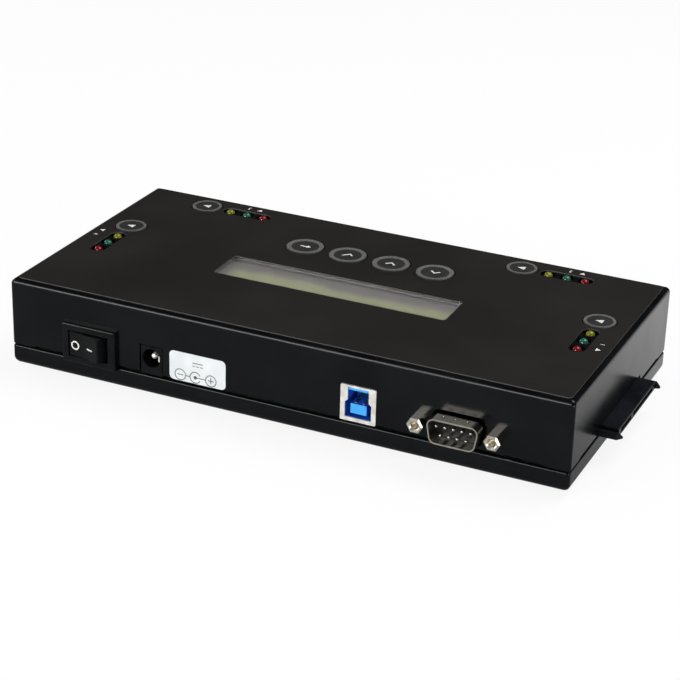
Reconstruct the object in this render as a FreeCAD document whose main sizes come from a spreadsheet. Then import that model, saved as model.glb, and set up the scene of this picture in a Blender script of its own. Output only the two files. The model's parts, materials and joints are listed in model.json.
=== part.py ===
# A four-port stand-alone hard drive eraser: a flat folded-steel case with a display, keys and
# lamps on top, power, USB and serial sockets in its rear wall and four drive sockets in the others.
# Frame: +Z up, the connector panel faces +Y, the user's side -Y. The origin is on the surface that
# the feet stand on, under the middle of the whole object, sockets included.
import FreeCAD, Part
import math
import os
import Sketcher

doc = FreeCAD.newDocument("drive_eraser")
sheet = doc.addObject("Spreadsheet::Sheet", "dims")

# Driving dimensions in millimetres, angles in degrees
driving = {
    # Case
    "case_length": 195.0,
    "case_width": 98.0,
    "case_height": 30.5,
    "seam_height": 7.0,
    "seam_gap": 0.2,
    "seam_round": 0.7,
    "slit_height": 1.0,
    "slit_from_corner": 7.0,
    "slit_taper": 3.0,
    "sheet_thick": 1.0,
    "corner_round": 1.2,
    "top_bend": 1.8,
    "bottom_bend": 2.5,
    "slot_clearance": 0.2,
    "hole_clearance": 0.15,
    # Feet and case fasteners
    "foot_height": 2.0,
    "foot_radius": 5.0,
    "foot_bevel": 0.4,
    "foot_bevel_height": 0.6,
    "foot_inset": 16.0,
    "pillar_inset": 7.5,
    "pillar_across": 5.5,
    "pillar_thread_depth": 8.0,
    "screw_radius": 1.45,
    "screw_head_radius": 2.75,
    "screw_head_height": 1.3,
    "screw_head_round": 0.6,
    "screw_recess_length": 2.8,
    "screw_recess_width": 0.6,
    "screw_recess_depth": 0.7,
    "screw_length": 5.0,
    "nut_height": 1.3,
    # Face sheet and display window
    "overlay_thick": 0.25,
    "overlay_margin": 1.9,
    "overlay_corner": 1.5,
    "window_length": 83.0,
    "window_depth": 16.2,
    "window_corner": 1.0,
    "window_lap": 1.6,
    "window_from_rear": 44.0,
    # Keys
    "menu_pitch": 16.0,
    "menu_gap": 6.25,
    "menu_radius": 6.55,
    "start_radius": 5.4,
    "side_start_from_end": 11.9,
    "side_start_from_rear": 58.6,
    "front_start_from_front": 9.9,
    "start_three_from_end": 26.1,
    "start_two_from_end": 49.1,
    "key_gap": 0.3,
    "key_proud": 0.3,
    "key_lip": 1.1,
    "key_flange": 1.0,
    "key_travel": 0.5,
    "key_bevel": 0.25,
    "key_rim": 1.8,
    "key_dish": 0.12,
    "stem_radius": 1.75,
    "stem_engage": 2.0,
    "stem_spare": 0.3,
    "running_clearance": 0.08,
    "key_switch_side": 6.0,
    "key_switch_height": 3.5,
    "key_switch_edge": 0.3,
    # Lamps
    "led_radius": 1.5,
    "led_length": 5.0,
    "led_tip_flat": 0.05,
    "led_rim": 0.35,
    "led_rim_height": 1.0,
    "led_proud": 0.5,
    "led_first": 9.45,
    "led_pitch": 6.44,
    "led_hole_margin": 0.9,
    "led_slot_margin": 1.35,
    "led_lead": 0.5,
    "led_lead_spread": 2.54,
    # Boards
    "board_thick": 1.6,
    "standoff_across": 5.5,
    "board_rear_margin": 2.4,
    "board_margin": 3.4,
    "board_hole_from_end": 15.5,
    "board_hole_from_rear": 24.0,
    "board_hole_from_front": 17.0,
    "panel_standoff": 6.5,
    "panel_rear_margin": 23.0,
    "panel_front_margin": 3.5,
    "panel_end_margin": 5.0,
    "panel_cut_gap": 0.4,
    "panel_hole_from_end": 22.5,
    "panel_hole_from_rear": 29.0,
    "panel_hole_from_key": 12.4,
    "panel_hole_from_front": 15.0,
    # Display module
    "lcd_length": 116.0,
    "lcd_depth": 37.0,
    "lcd_hole_inset": 3.5,
    "lcd_gap": 1.0,
    "lcd_end_tab": 9.0,
    "lcd_bezel_depth": 25.0,
    "lcd_bezel_wall": 0.5,
    "lcd_bezel_round": 0.25,
    "lcd_bezel_drop": 0.1,
    "lcd_view_length": 85.0,
    "lcd_view_depth": 18.6,
    "lcd_glass_thick": 2.2,
    "lcd_fit": 0.1,
    # Rocker switch
    "rocker_from_end": 30.3,
    "rocker_level": 13.2,
    "bezel_length": 19.8,
    "bezel_height": 14.0,
    "bezel_thick": 2.0,
    "bezel_round": 0.8,
    "rocker_body_length": 18.4,
    "rocker_body_height": 12.2,
    "rocker_body_depth": 14.0,
    "rocker_mouth_length": 14.8,
    "rocker_mouth_height": 9.2,
    "rocker_cavity": 6.0,
    "rocker_tilt": 13.0,
    "latch_reach": 0.9,
    "latch_length": 5.0,
    "latch_height": 5.0,
    "pivot_depth": 1.5,
    "pivot_radius": 1.2,
    "pivot_length": 1.4,
    "paddle_height": 8.4,
    "paddle_half": 6.2,
    "paddle_flare": 0.5,
    "paddle_crest": 4.93,
    "paddle_valley": 4.0,
    "paddle_hollow": 18.0,
    "paddle_tail": 1.0,
    "paddle_root": 2.4,
    "paddle_round": 0.5,
    "blade_length": 7.5,
    "blade_height": 4.8,
    "blade_thick": 0.8,
    "blade_spread": 7.2,
    "lead_radius": 1.0,
    "lead_bend": 4.0,
    "lead_run": 2.0,
    # Power inlet and its label
    "jack_from_end": 52.7,
    "jack_width": 8.1,
    "jack_top": 17.5,
    "jack_bottom": 7.25,
    "jack_depth": 14.0,
    "jack_setback": 0.1,
    "jack_edge": 0.3,
    "jack_bore_level": 13.2,
    "jack_bore_radius": 3.2,
    "jack_bore_depth": 9.5,
    "jack_pin_radius": 1.0,
    "jack_pin_setback": 1.4,
    "jack_pin_round": 0.9,
    "jack_strip_offset": 2.55,
    "jack_strip_length": 9.0,
    "jack_strip_width": 2.0,
    "jack_strip_thick": 0.4,
    "label_from_end": 69.6,
    "label_level": 12.95,
    "label_length": 20.2,
    "label_height": 10.1,
    "label_corner": 1.6,
    "label_thick": 0.12,
    # USB socket
    "usb_from_end": 69.2,
    "usb_width": 12.05,
    "usb_height": 12.2,
    "usb_depth": 18.0,
    "usb_proud": 0.3,
    "usb_wall": 0.4,
    "usb_front": 0.5,
    "usb_corner": 0.4,
    "usb_low_width": 8.9,
    "usb_high_width": 7.1,
    "usb_sill": 1.25,
    "usb_step": 6.4,
    "usb_slope": 0.8,
    "usb_lintel": 0.75,
    "usb_brow": 1.0,
    "usb_cavity": 9.0,
    "usb_tongue_width": 5.4,
    "usb_tongue_height": 3.3,
    "usb_tongue_level": 2.6,
    "usb_strip_spread": 2.7,
    "usb_strip_width": 0.8,
    "usb_strip_length": 8.0,
    "usb_strip_thick": 0.1,
    # Serial plug
    "serial_from_end": 35.9,
    "serial_level": 13.63,
    "serial_width": 17.4,
    "serial_height": 8.36,
    "serial_slant": 10.0,
    "serial_corner": 2.4,
    "serial_reach": 5.8,
    "serial_wall": 0.5,
    "serial_fit": 0.1,
    "serial_root": 0.7,
    "serial_flange_length": 30.8,
    "serial_flange_height": 12.2,
    "serial_flange_thick": 0.8,
    "serial_flange_corner": 1.2,
    "serial_cut_gap": 0.9,
    "serial_floor": 5.0,
    "serial_block_lap": 0.5,
    "serial_block_depth": 9.0,
    "serial_pin_pitch": 2.77,
    "serial_row_pitch": 2.84,
    "serial_pin_radius": 0.5,
    "serial_pin_setback": 0.8,
    "serial_pin_round": 0.45,
    "dimple_radius": 0.8,
    "dimple_depth": 0.3,
    "dimple_from_tip": 2.9,
    "dimple_pitch": 3.8,
    "post_spacing": 25.0,
    "post_across": 4.8,
    "post_length": 5.3,
    "post_shank": 4.0,
    "post_shank_radius": 1.4,
    "post_bore_radius": 1.25,
    "post_bore_depth": 5.0,
    "post_edge": 0.45,
    # Drive sockets
    "sata_from_rear": 48.2,
    "sata_three_from_end": 37.5,
    "sata_two_from_end": 37.5,
    "sata_floor": 0.6,
    "sata_rise": 2.3,
    "sata_slab": 38.0,
    "sata_edge": 0.25,
    "sata_groove": 0.5,
    "sata_arm": 1.7,
    "sata_arm_drop": 1.0,
    "sata_reach": 5.7,
    "sata_horn": 7.3,
    "sata_horn_width": 0.5,
    "sata_horn_height": 0.5,
    "sata_seat": 4.0,
    "sata_slot_height": 1.5,
    "sata_signal_slot": 10.6,
    "sata_divider": 1.9,
    "sata_power_slot": 20.8,
    "sata_contact_pitch": 1.27,
    "sata_contact_width": 0.8,
    "sata_contact_thick": 0.2,
    "sata_contact_setback": 1.0,
    "sata_tail": 1.5,
    # Parts on the boards
    "chip_side": 24.0,
    "chip_thick": 1.6,
    "chip_edge": 0.3,
    "chip_from_middle": 24.0,
    "chip_from_rear": 55.0,
    "small_chip_side": 10.0,
    "small_chip_thick": 1.2,
    "small_chip_pitch": 20.0,
    "capacitor_radius": 4.0,
    "capacitor_height": 10.0,
    "capacitor_edge": 0.4,
    "capacitor_gap": 2.05,
    "capacitor_pitch": 12.0,
    "capacitor_from_rear": 20.0,
    "inductor_side": 12.0,
    "inductor_height": 6.0,
    "inductor_edge": 1.5,
    "inductor_pitch": 18.0,
    "inductor_from_end": 30.0,
    "inductor_from_rear": 38.0,
    "header_length": 20.3,
    "header_width": 5.0,
    "header_plug_height": 2.5,
    "header_clear": 2.0,
    "header_gap": 7.0,
    "strip_length": 40.6,
    "strip_width": 2.5,
}
for row, (name, value) in enumerate(driving.items(), start=1):
    sheet.set(f"A{row}", name)
    sheet.set(f"B{row}", str(value))
    sheet.setAlias(f"B{row}", name)
doc.recompute()

# Faces and levels that several pieces share, as expressions on the sheet
end_face = "(dims.case_length / 2)"
overall_depth = "(dims.sata_horn + dims.case_width + dims.serial_reach)"
rear_face = f"({overall_depth} / 2 - dims.serial_reach)"
front_face = f"(dims.sata_horn - {overall_depth} / 2)"
case_y = f"(({rear_face} + {front_face}) / 2)"
floor_top = "(dims.foot_height + dims.sheet_thick)"
seam_level = "(dims.foot_height + dims.seam_height)"
cover_base = f"({seam_level} + dims.seam_gap / 2)"
tray_rim = f"({seam_level} - dims.seam_gap / 2)"
cover_top = "(dims.foot_height + dims.case_height)"
ceiling = f"({cover_top} - dims.sheet_thick)"
face_level = f"({cover_top} + dims.overlay_thick)"
sata_low = f"({tray_rim} + dims.slot_clearance)"
board_top = f"({sata_low} + dims.sata_floor)"
sata_high = f"({board_top} + dims.sata_rise)"
board_bottom = f"({board_top} - dims.board_thick)"
standoff_height = f"({board_bottom} - {floor_top})"
panel_top = f"({ceiling} - dims.panel_standoff)"
panel_bottom = f"({panel_top} - dims.board_thick)"
lcd_top = f"({panel_bottom} - dims.lcd_gap)"
lcd_bottom = f"({lcd_top} - dims.board_thick)"
inner_length = "(dims.case_length - 2 * dims.sheet_thick)"
inner_width = "(dims.case_width - 2 * dims.sheet_thick)"
window_y = f"({rear_face} - dims.window_from_rear)"
screw_hole = "(dims.screw_radius + dims.hole_clearance)"
sata_half = "(dims.sata_slab / 2 + dims.sata_groove + dims.sata_arm)"
rocker_x = f"({end_face} - dims.rocker_from_end)"
rocker_z = "(dims.foot_height + dims.rocker_level)"
jack_x = f"({end_face} - dims.jack_from_end)"
label_x = f"({end_face} - dims.label_from_end)"
usb_x = f"(dims.usb_from_end - {end_face})"
serial_x = f"(dims.serial_from_end - {end_face})"
serial_z = "(dims.foot_height + dims.serial_level)"
post_hole = "(dims.post_shank_radius + dims.hole_clearance)"
side_start_x = f"({end_face} - dims.side_start_from_end)"
side_start_y = f"({rear_face} - dims.side_start_from_rear)"
front_start_y = f"({front_face} + dims.front_start_from_front)"
start_two_x = f"(dims.start_two_from_end - {end_face})"
start_three_x = f"({end_face} - dims.start_three_from_end)"
panel_front_x = f"({start_two_x} + dims.panel_hole_from_key)"
lcd_bezel_length = "(dims.lcd_length - 2 * dims.lcd_end_tab)"
menu_reach = "(dims.lcd_bezel_depth / 2 + dims.menu_gap + dims.key_lip + dims.menu_radius)"
menu_y = f"({window_y} - {menu_reach})"

# Each start key: its place and the direction in which its lamps follow
start_keys = {
    "start_key_1": (f"-{side_start_x}", side_start_y, (0, 1)),
    "start_key_2": (start_two_x, front_start_y, (-1, 0)),
    "start_key_3": (start_three_x, front_start_y, (-1, 0)),
    "start_key_4": (side_start_x, side_start_y, (0, 1)),
}
menu_keys = {
    "menu_key_back": ("(1.5 * dims.menu_pitch)", menu_y),
    "menu_key_ok": ("(0.5 * dims.menu_pitch)", menu_y),
    "menu_key_down": ("(-0.5 * dims.menu_pitch)", menu_y),
    "menu_key_up": ("(-1.5 * dims.menu_pitch)", menu_y),
}
# Each drive socket: the middle of its mouth on the wall's outer face, and its turn about Z
end_socket_y = f"({rear_face} - dims.sata_from_rear)"
sata_places = {
    "sata_socket_1": (f"-{end_face}", end_socket_y, -90),
    "sata_socket_2": (f"(dims.sata_two_from_end - {end_face})", front_face, 0),
    "sata_socket_3": (f"({end_face} - dims.sata_three_from_end)", front_face, 0),
    "sata_socket_4": (end_face, end_socket_y, 90),
}
four_corners = [(-1, -1), (1, -1), (1, 1), (-1, 1)]
both_sides = (-1, 1)
upside_down = ((1, 0, 0), 180)
facing_rear = ((1, 0, 0), -90)
nodes = []


def number(text):
    return float(sheet.evalExpression(str(text)))


def point(x, y, z=0):
    return FreeCAD.Vector(number(x), number(y), number(z))


def keep(item, label):
    item.Label = label
    nodes.append(item)
    return item


def new_body(name):
    return doc.addObject("PartDesign::Body", name)


def move(item, x, y, z):
    for axis, text in zip("xyz", (x, y, z)):
        item.setExpression(f"Placement.Base.{axis}", str(text))
    doc.recompute()


def turned(axis, angle):
    return FreeCAD.Placement(FreeCAD.Vector(), FreeCAD.Rotation(FreeCAD.Vector(*axis), angle))


def corner_places(inset):
    x = f"({end_face} - {inset})"
    y = f"(dims.case_width / 2 - {inset})"
    return [(f"({sx} * {x})", f"({case_y} + {sy} * {y})") for sx, sy in four_corners]


# Sketches
def sketch_on(body, role, level):
    # XY sketches lie at Z = level, YZ ones at X = level and XZ ones at Y = -level
    sketch = body.newObject("Sketcher::SketchObject", body.Name + "_sketch")
    plane = next(item for item in body.Origin.OriginFeatures if item.Role == role)
    sketch.AttachmentSupport = [(plane, "")]
    sketch.MapMode = "FlatFace"
    sketch.setExpression("AttachmentOffset.Base.z", str(level))
    return sketch


def pin_point(sketch, geometry, which, x, y):
    for kind, text in (("DistanceX", x), ("DistanceY", y)):
        rule = Sketcher.Constraint(kind, -1, 1, geometry, which, number(text))
        index = sketch.addConstraint(rule)
        sketch.setExpression(f"Constraints[{index}]", str(text))


def bind_radius(sketch, geometry, radius):
    index = sketch.addConstraint(Sketcher.Constraint("Radius", geometry, number(radius)))
    sketch.setExpression(f"Constraints[{index}]", str(radius))


def outline(sketch, corners, construction=False):
    places = [point(x, y) for x, y in corners]
    count = len(corners)
    lines = []
    for index in range(count):
        line = Part.LineSegment(places[index], places[(index + 1) % count])
        lines.append(sketch.addGeometry(line, construction))
    for index in range(count):
        follower = lines[(index + 1) % count]
        sketch.addConstraint(Sketcher.Constraint("Coincident", lines[index], 2, follower, 1))
    for line, (x, y) in zip(lines, corners):
        pin_point(sketch, line, 1, x, y)
    return lines


def rounded_outline(sketch, corners, radius):
    # The same outline with arcs at its corners, which run anticlockwise, laid on a construction outline
    guides = outline(sketch, corners, construction=True)
    places = [point(x, y) for x, y in corners]
    count = len(corners)
    size = number(radius)
    starts = []
    ends = []
    arcs = []
    for index in range(count):
        back = (places[index - 1] - places[index]).normalize()
        ahead = (places[(index + 1) % count] - places[index]).normalize()
        half_turn = back.getAngle(ahead) / 2
        reach = size / math.tan(half_turn)
        inward = (back + ahead).normalize()
        ends.append(places[index] + back * reach)
        starts.append(places[index] + ahead * reach)
        middle = places[index] + inward * (size / math.sin(half_turn) - size)
        arcs.append(sketch.addGeometry(Part.Arc(ends[index], middle, starts[index]), False))
        bind_radius(sketch, arcs[index], radius)
    for index in range(count):
        follower = (index + 1) % count
        side = sketch.addGeometry(Part.LineSegment(starts[index], ends[follower]), False)
        for which in (1, 2):
            sketch.addConstraint(Sketcher.Constraint("PointOnObject", side, which, guides[index]))
        sketch.addConstraint(Sketcher.Constraint("Tangent", arcs[index], 2, side, 1))
        sketch.addConstraint(Sketcher.Constraint("Tangent", side, 2, arcs[follower], 1))


def rectangle(sketch, x, y, length, width, radius=None):
    corners = []
    for sx, sy in four_corners:
        corners.append((f"{x} + {sx} * ({length}) / 2", f"{y} + {sy} * ({width}) / 2"))
    if radius:
        rounded_outline(sketch, corners, radius)
    else:
        outline(sketch, corners)


def circle(sketch, x, y, radius):
    ring = Part.Circle(point(x, y), FreeCAD.Vector(0, 0, 1), number(radius))
    index = sketch.addGeometry(ring, False)
    pin_point(sketch, index, 3, x, y)
    bind_radius(sketch, index, radius)


def round_slot(sketch, first, last, radius):
    # Two half circles about first and last, joined by straight sides
    start = point(*first)
    end = point(*last)
    ahead = (end - start).normalize() * number(radius)
    side = FreeCAD.Vector(-ahead.y, ahead.x, 0)
    curves = [
        Part.Arc(start + side, start - ahead, start - side),
        Part.LineSegment(start - side, end - side),
        Part.Arc(end - side, end + ahead, end + side),
        Part.LineSegment(end + side, start + side),
    ]
    parts = [sketch.addGeometry(curve, False) for curve in curves]
    pin_point(sketch, parts[0], 3, *first)
    pin_point(sketch, parts[2], 3, *last)
    bind_radius(sketch, parts[0], radius)
    for index in range(4):
        follower = parts[(index + 1) % 4]
        sketch.addConstraint(Sketcher.Constraint("Tangent", parts[index], 2, follower, 1))


def hexagon(sketch, x, y, across):
    corners = []
    for step in range(6):
        reach = f"({across}) / sqrt(3)"
        corners.append((f"{x} + cos({60 * step}) * {reach}", f"{y} + sin({60 * step}) * {reach}"))
    outline(sketch, corners)


# Features
def pad(body, sketch, length):
    feature = body.newObject("PartDesign::Pad", body.Name + "_pad")
    feature.Profile = sketch
    feature.setExpression("Length", str(length))
    doc.recompute()
    return feature


def pocket(body, sketch, length=0, along_normal=False, through=False):
    before = body.Tip.Shape.Volume
    feature = body.newObject("PartDesign::Pocket", body.Name + "_pocket")
    feature.Profile = sketch
    feature.Reversed = along_normal
    if through:
        feature.Type = "ThroughAll"
    else:
        feature.setExpression("Length", str(length))
    doc.recompute()
    if not feature.Shape.Volume < before:
        raise RuntimeError(f"{feature.Name} cuts nothing")
    return feature


def revolve(body, corners, kind="Revolution"):
    # A profile of radius and height, turned about the body's Z axis, as a solid or as a groove
    sketch = sketch_on(body, "XZ_Plane", 0)
    outline(sketch, corners)
    feature = body.newObject(f"PartDesign::{kind}", body.Name + "_turn")
    feature.Profile = sketch
    feature.ReferenceAxis = (sketch, ["V_Axis"])
    feature.Angle = 360
    doc.recompute()
    return feature


def dress(body, kind, size_name, size, wanted):
    base = body.Tip
    edges = [f"Edge{index}" for index, edge in enumerate(base.Shape.Edges, start=1) if wanted(edge)]
    feature = body.newObject(kind, body.Name + "_edge")
    feature.Base = (base, edges)
    feature.setExpression(size_name, str(size))
    doc.recompute()
    return feature


def round_edges(body, radius, wanted):
    return dress(body, "PartDesign::Fillet", "Radius", radius, wanted)


def bevel_edges(body, size, wanted):
    return dress(body, "PartDesign::Chamfer", "Size", size, wanted)


def along(axis):
    # Straight edges along one axis, as a test for round_edges and bevel_edges
    def test(edge):
        box = edge.BoundBox
        spans = {"X": box.XLength, "Y": box.YLength, "Z": box.ZLength}
        return all((span > 1e-6) == (name == axis) for name, span in spans.items())
    return test


def at_level(text, axis="Z"):
    level = number(text)

    def test(edge):
        box = edge.BoundBox
        low = {"X": box.XMin, "Y": box.YMin, "Z": box.ZMin}[axis]
        high = {"X": box.XMax, "Y": box.YMax, "Z": box.ZMax}[axis]
        return abs(low - level) < 1e-4 and abs(high - level) < 1e-4
    return test


# Pieces and groups of pieces
def block(x, y, z, length, width, height):
    # A plain box, centred on x and y, standing on z
    box = doc.addObject("Part::Box", "block")
    for side, text in (("Length", length), ("Width", width), ("Height", height)):
        box.setExpression(side, text)
    move(box, f"{x} - ({length}) / 2", f"{y} - ({width}) / 2", z)
    return box


def plate(label, x, y, z, length, width, height, corner=None):
    body = new_body(label)
    sketch = sketch_on(body, "XY_Plane", z)
    rectangle(sketch, x, y, length, width, corner)
    pad(body, sketch, height)
    return keep(body, label)


def copy_at(item, x, y, z, axis=(0, 0, 1), angle=0):
    copy = doc.addObject("App::Link", item.Name + "_copy")
    copy.LinkedObject = item
    copy.LinkTransform = True
    copy.Placement = turned(axis, angle)
    move(copy, x, y, z)
    return copy


def cluster(name, items):
    whole = doc.addObject("Part::Compound", name)
    whole.Links = items
    doc.recompute()
    return whole


def group(label, items):
    return keep(cluster(label, items), label)


# Places that repeat
def lamp_places(key):
    x, y, (run_x, run_y) = start_keys[key]
    places = []
    for step in range(3):
        offset = f"(dims.led_first + {step} * dims.led_pitch)"
        places.append((f"({x} + {run_x} * {offset})", f"({y} + {run_y} * {offset})"))
    return places


def key_places():
    for label, (x, y) in menu_keys.items():
        yield label, x, y, "dims.menu_radius"
    for label, (x, y, run) in start_keys.items():
        yield label, x, y, "dims.start_radius"


def post_places():
    return [f"({serial_x} + {side} * dims.post_spacing / 2)" for side in both_sides]


def lcd_corners():
    x = "(dims.lcd_length / 2 - dims.lcd_hole_inset)"
    y = "(dims.lcd_depth / 2 - dims.lcd_hole_inset)"
    return [(f"({sx} * {x})", f"({window_y} + {sy} * {y})") for sx, sy in four_corners]


def panel_holes():
    rear_x = f"({end_face} - dims.panel_hole_from_end)"
    rear_y = f"({rear_face} - dims.panel_hole_from_rear)"
    front_y = f"({front_face} + dims.panel_hole_from_front)"
    places = [(f"({side} * {rear_x})", rear_y) for side in both_sides]
    return places + [(f"({side} * {panel_front_x})", front_y) for side in both_sides]


def board_holes():
    far_x = f"({end_face} - dims.board_hole_from_end)"
    rear_y = f"({rear_face} - dims.board_hole_from_rear)"
    front_y = f"({front_face} + dims.board_hole_from_front)"
    return [(f"({side} * {far_x})", y) for side in (-1, 0, 1) for y in (rear_y, front_y)]


def serial_pin_places():
    # Five pins above, four below, half a pitch apart
    for count, side in ((5, 1), (4, -1)):
        for step in range(count):
            offset = f"{step - (count - 1) / 2} * dims.serial_pin_pitch"
            yield f"({serial_x} + {offset})", f"({serial_z} + {side} * dims.serial_row_pitch / 2)"


def sata_openings():
    # Middle, width and contact count of the signal slot and of the power slot
    total = "(dims.sata_signal_slot + dims.sata_divider + dims.sata_power_slot)"
    yield f"(dims.sata_signal_slot / 2 - {total} / 2)", "dims.sata_signal_slot", 7
    yield f"({total} / 2 - dims.sata_power_slot / 2)", "dims.sata_power_slot", 15


def d_corners(grow):
    # The serial plug's D, its upper side the longer one, with every side moved out by grow
    half_height = f"(dims.serial_height / 2 + {grow})"
    half_top = f"(dims.serial_width / 2 + {grow})"
    lean = f"tan(dims.serial_slant) * 2 * {half_height}"
    return [
        (f"({serial_x} - {half_top})", f"({serial_z} + {half_height})"),
        (f"({serial_x} - {half_top} + {lean})", f"({serial_z} - {half_height})"),
        (f"({serial_x} + {half_top} - {lean})", f"({serial_z} - {half_height})"),
        (f"({serial_x} + {half_top})", f"({serial_z} + {half_height})"),
    ]


# The case
def seam_slits(body):
    # A slit along the lower edge of each wall, tapering out before the corners
    low = f"({cover_base} - dims.sheet_thick)"
    high = f"({cover_base} + dims.slit_height)"
    runs = (
        ("XZ_Plane", f"-{rear_face}", 0, "dims.case_length", True),
        ("YZ_Plane", end_face, case_y, "dims.case_width", False),
    )
    for plane, level, middle, wall, along_normal in runs:
        half = f"({wall} / 2 - dims.slit_from_corner)"
        slit = sketch_on(body, plane, level)
        outline(slit, [
            (f"{middle} - {half}", low),
            (f"{middle} + {half}", low),
            (f"{middle} + {half}", cover_base),
            (f"{middle} + {half} - dims.slit_taper", high),
            (f"{middle} - {half} + dims.slit_taper", high),
            (f"{middle} - {half}", cover_base),
        ])
        pocket(body, slit, through=True, along_normal=along_normal)


def sata_slots(body):
    # Cuts the drive sockets' slots out of three walls, open at the cover's lower edge
    low = f"({cover_base} - dims.sheet_thick)"
    high = f"({sata_high} + dims.slot_clearance)"
    height = f"({high} - {low})"
    middle = f"({low} + {high}) / 2"
    length = f"(2 * {sata_half} + 2 * dims.slot_clearance)"
    front = sketch_on(body, "XZ_Plane", f"-{front_face}")
    for socket in ("sata_socket_2", "sata_socket_3"):
        rectangle(front, sata_places[socket][0], middle, length, height)
    pocket(body, front, "dims.sheet_thick")
    ends = sketch_on(body, "YZ_Plane", end_face)
    rectangle(ends, end_socket_y, middle, length, height)
    pocket(body, ends, through=True)


def rear_slot(sketch, x, length, top):
    # A slot for a socket, open at the cover's lower edge
    low = f"({cover_base} - dims.sheet_thick)"
    high = f"({top} + dims.slot_clearance)"
    rectangle(sketch, x, f"({low} + {high}) / 2", f"{length} + 2 * dims.slot_clearance", f"{high} - {low}")


def lamp_holes(sketch):
    for key in start_keys:
        for x, y in lamp_places(key):
            circle(sketch, x, y, "dims.led_radius + dims.led_hole_margin")


def lamp_slots(sketch):
    # In the face sheet one slot bares the cover round all three lamps of a port
    for key in start_keys:
        first, middle, last = lamp_places(key)
        round_slot(sketch, first, last, "dims.led_radius + dims.led_slot_margin")


def make_top_cover():
    body = new_body("top_cover")
    height = f"({cover_top} - {cover_base})"
    sketch = sketch_on(body, "XY_Plane", cover_base)
    rectangle(sketch, 0, case_y, "dims.case_length", "dims.case_width", "dims.corner_round")
    pad(body, sketch, height)
    round_edges(body, "dims.top_bend", at_level(cover_top))
    round_edges(body, "dims.seam_round", at_level(cover_base))
    inside = sketch_on(body, "XY_Plane", cover_base)
    rectangle(inside, 0, case_y, inner_length, inner_width)
    pocket(body, inside, f"{height} - dims.sheet_thick", along_normal=True)
    round_edges(body, "dims.top_bend - dims.sheet_thick", at_level(ceiling))

    top = sketch_on(body, "XY_Plane", cover_top)
    lap = "2 * dims.window_lap + 2 * dims.slot_clearance"
    rectangle(top, 0, window_y, f"dims.window_length + {lap}", f"dims.window_depth + {lap}")
    for label, x, y, radius in key_places():
        circle(top, x, y, f"{radius} + dims.key_gap")
    lamp_holes(top)
    pocket(body, top, "dims.sheet_thick")

    rear = sketch_on(body, "XZ_Plane", f"-{rear_face}")
    rear_slot(rear, rocker_x, "dims.rocker_body_length", f"{rocker_z} + dims.rocker_body_height / 2")
    rear_slot(rear, jack_x, "dims.jack_width", "dims.foot_height + dims.jack_top")
    rear_slot(rear, usb_x, "dims.usb_width", f"{board_top} + dims.usb_height")
    rounded_outline(rear, d_corners("dims.serial_cut_gap"), "dims.serial_corner + dims.serial_cut_gap")
    for x in post_places():
        circle(rear, x, serial_z, post_hole)
    pocket(body, rear, "dims.sheet_thick", along_normal=True)
    sata_slots(body)
    seam_slits(body)
    keep(body, "top_cover")


def make_bottom_tray():
    body = new_body("bottom_tray")
    sketch = sketch_on(body, "XY_Plane", "dims.foot_height")
    rectangle(sketch, 0, case_y, "dims.case_length", "dims.case_width", "dims.corner_round")
    pad(body, sketch, f"{tray_rim} - dims.foot_height")
    round_edges(body, "dims.bottom_bend", at_level("dims.foot_height"))
    round_edges(body, "dims.seam_round", at_level(tray_rim))
    inside = sketch_on(body, "XY_Plane", tray_rim)
    rectangle(inside, 0, case_y, inner_length, inner_width)
    pocket(body, inside, f"{tray_rim} - {floor_top}")
    round_edges(body, "dims.bottom_bend - dims.sheet_thick", at_level(floor_top))
    holes = sketch_on(body, "XY_Plane", floor_top)
    for x, y in corner_places("dims.pillar_inset"):
        circle(holes, x, y, screw_hole)
    pocket(body, holes, "dims.sheet_thick")
    keep(body, "bottom_tray")


def make_face():
    overlay = plate("face_overlay", 0, case_y, cover_top, "dims.case_length - 2 * dims.overlay_margin",
                    "dims.case_width - 2 * dims.overlay_margin", "dims.overlay_thick", "dims.overlay_corner")
    cuts = sketch_on(overlay, "XY_Plane", face_level)
    rectangle(cuts, 0, window_y, "dims.window_length", "dims.window_depth", "dims.window_corner")
    for label, x, y, radius in key_places():
        circle(cuts, x, y, f"{radius} + dims.key_gap")
    lamp_slots(cuts)
    pocket(overlay, cuts, "dims.overlay_thick")
    plate("display_window", 0, window_y, ceiling, "dims.window_length + 2 * dims.window_lap",
          "dims.window_depth + 2 * dims.window_lap", "dims.sheet_thick", "dims.window_corner")


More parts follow.
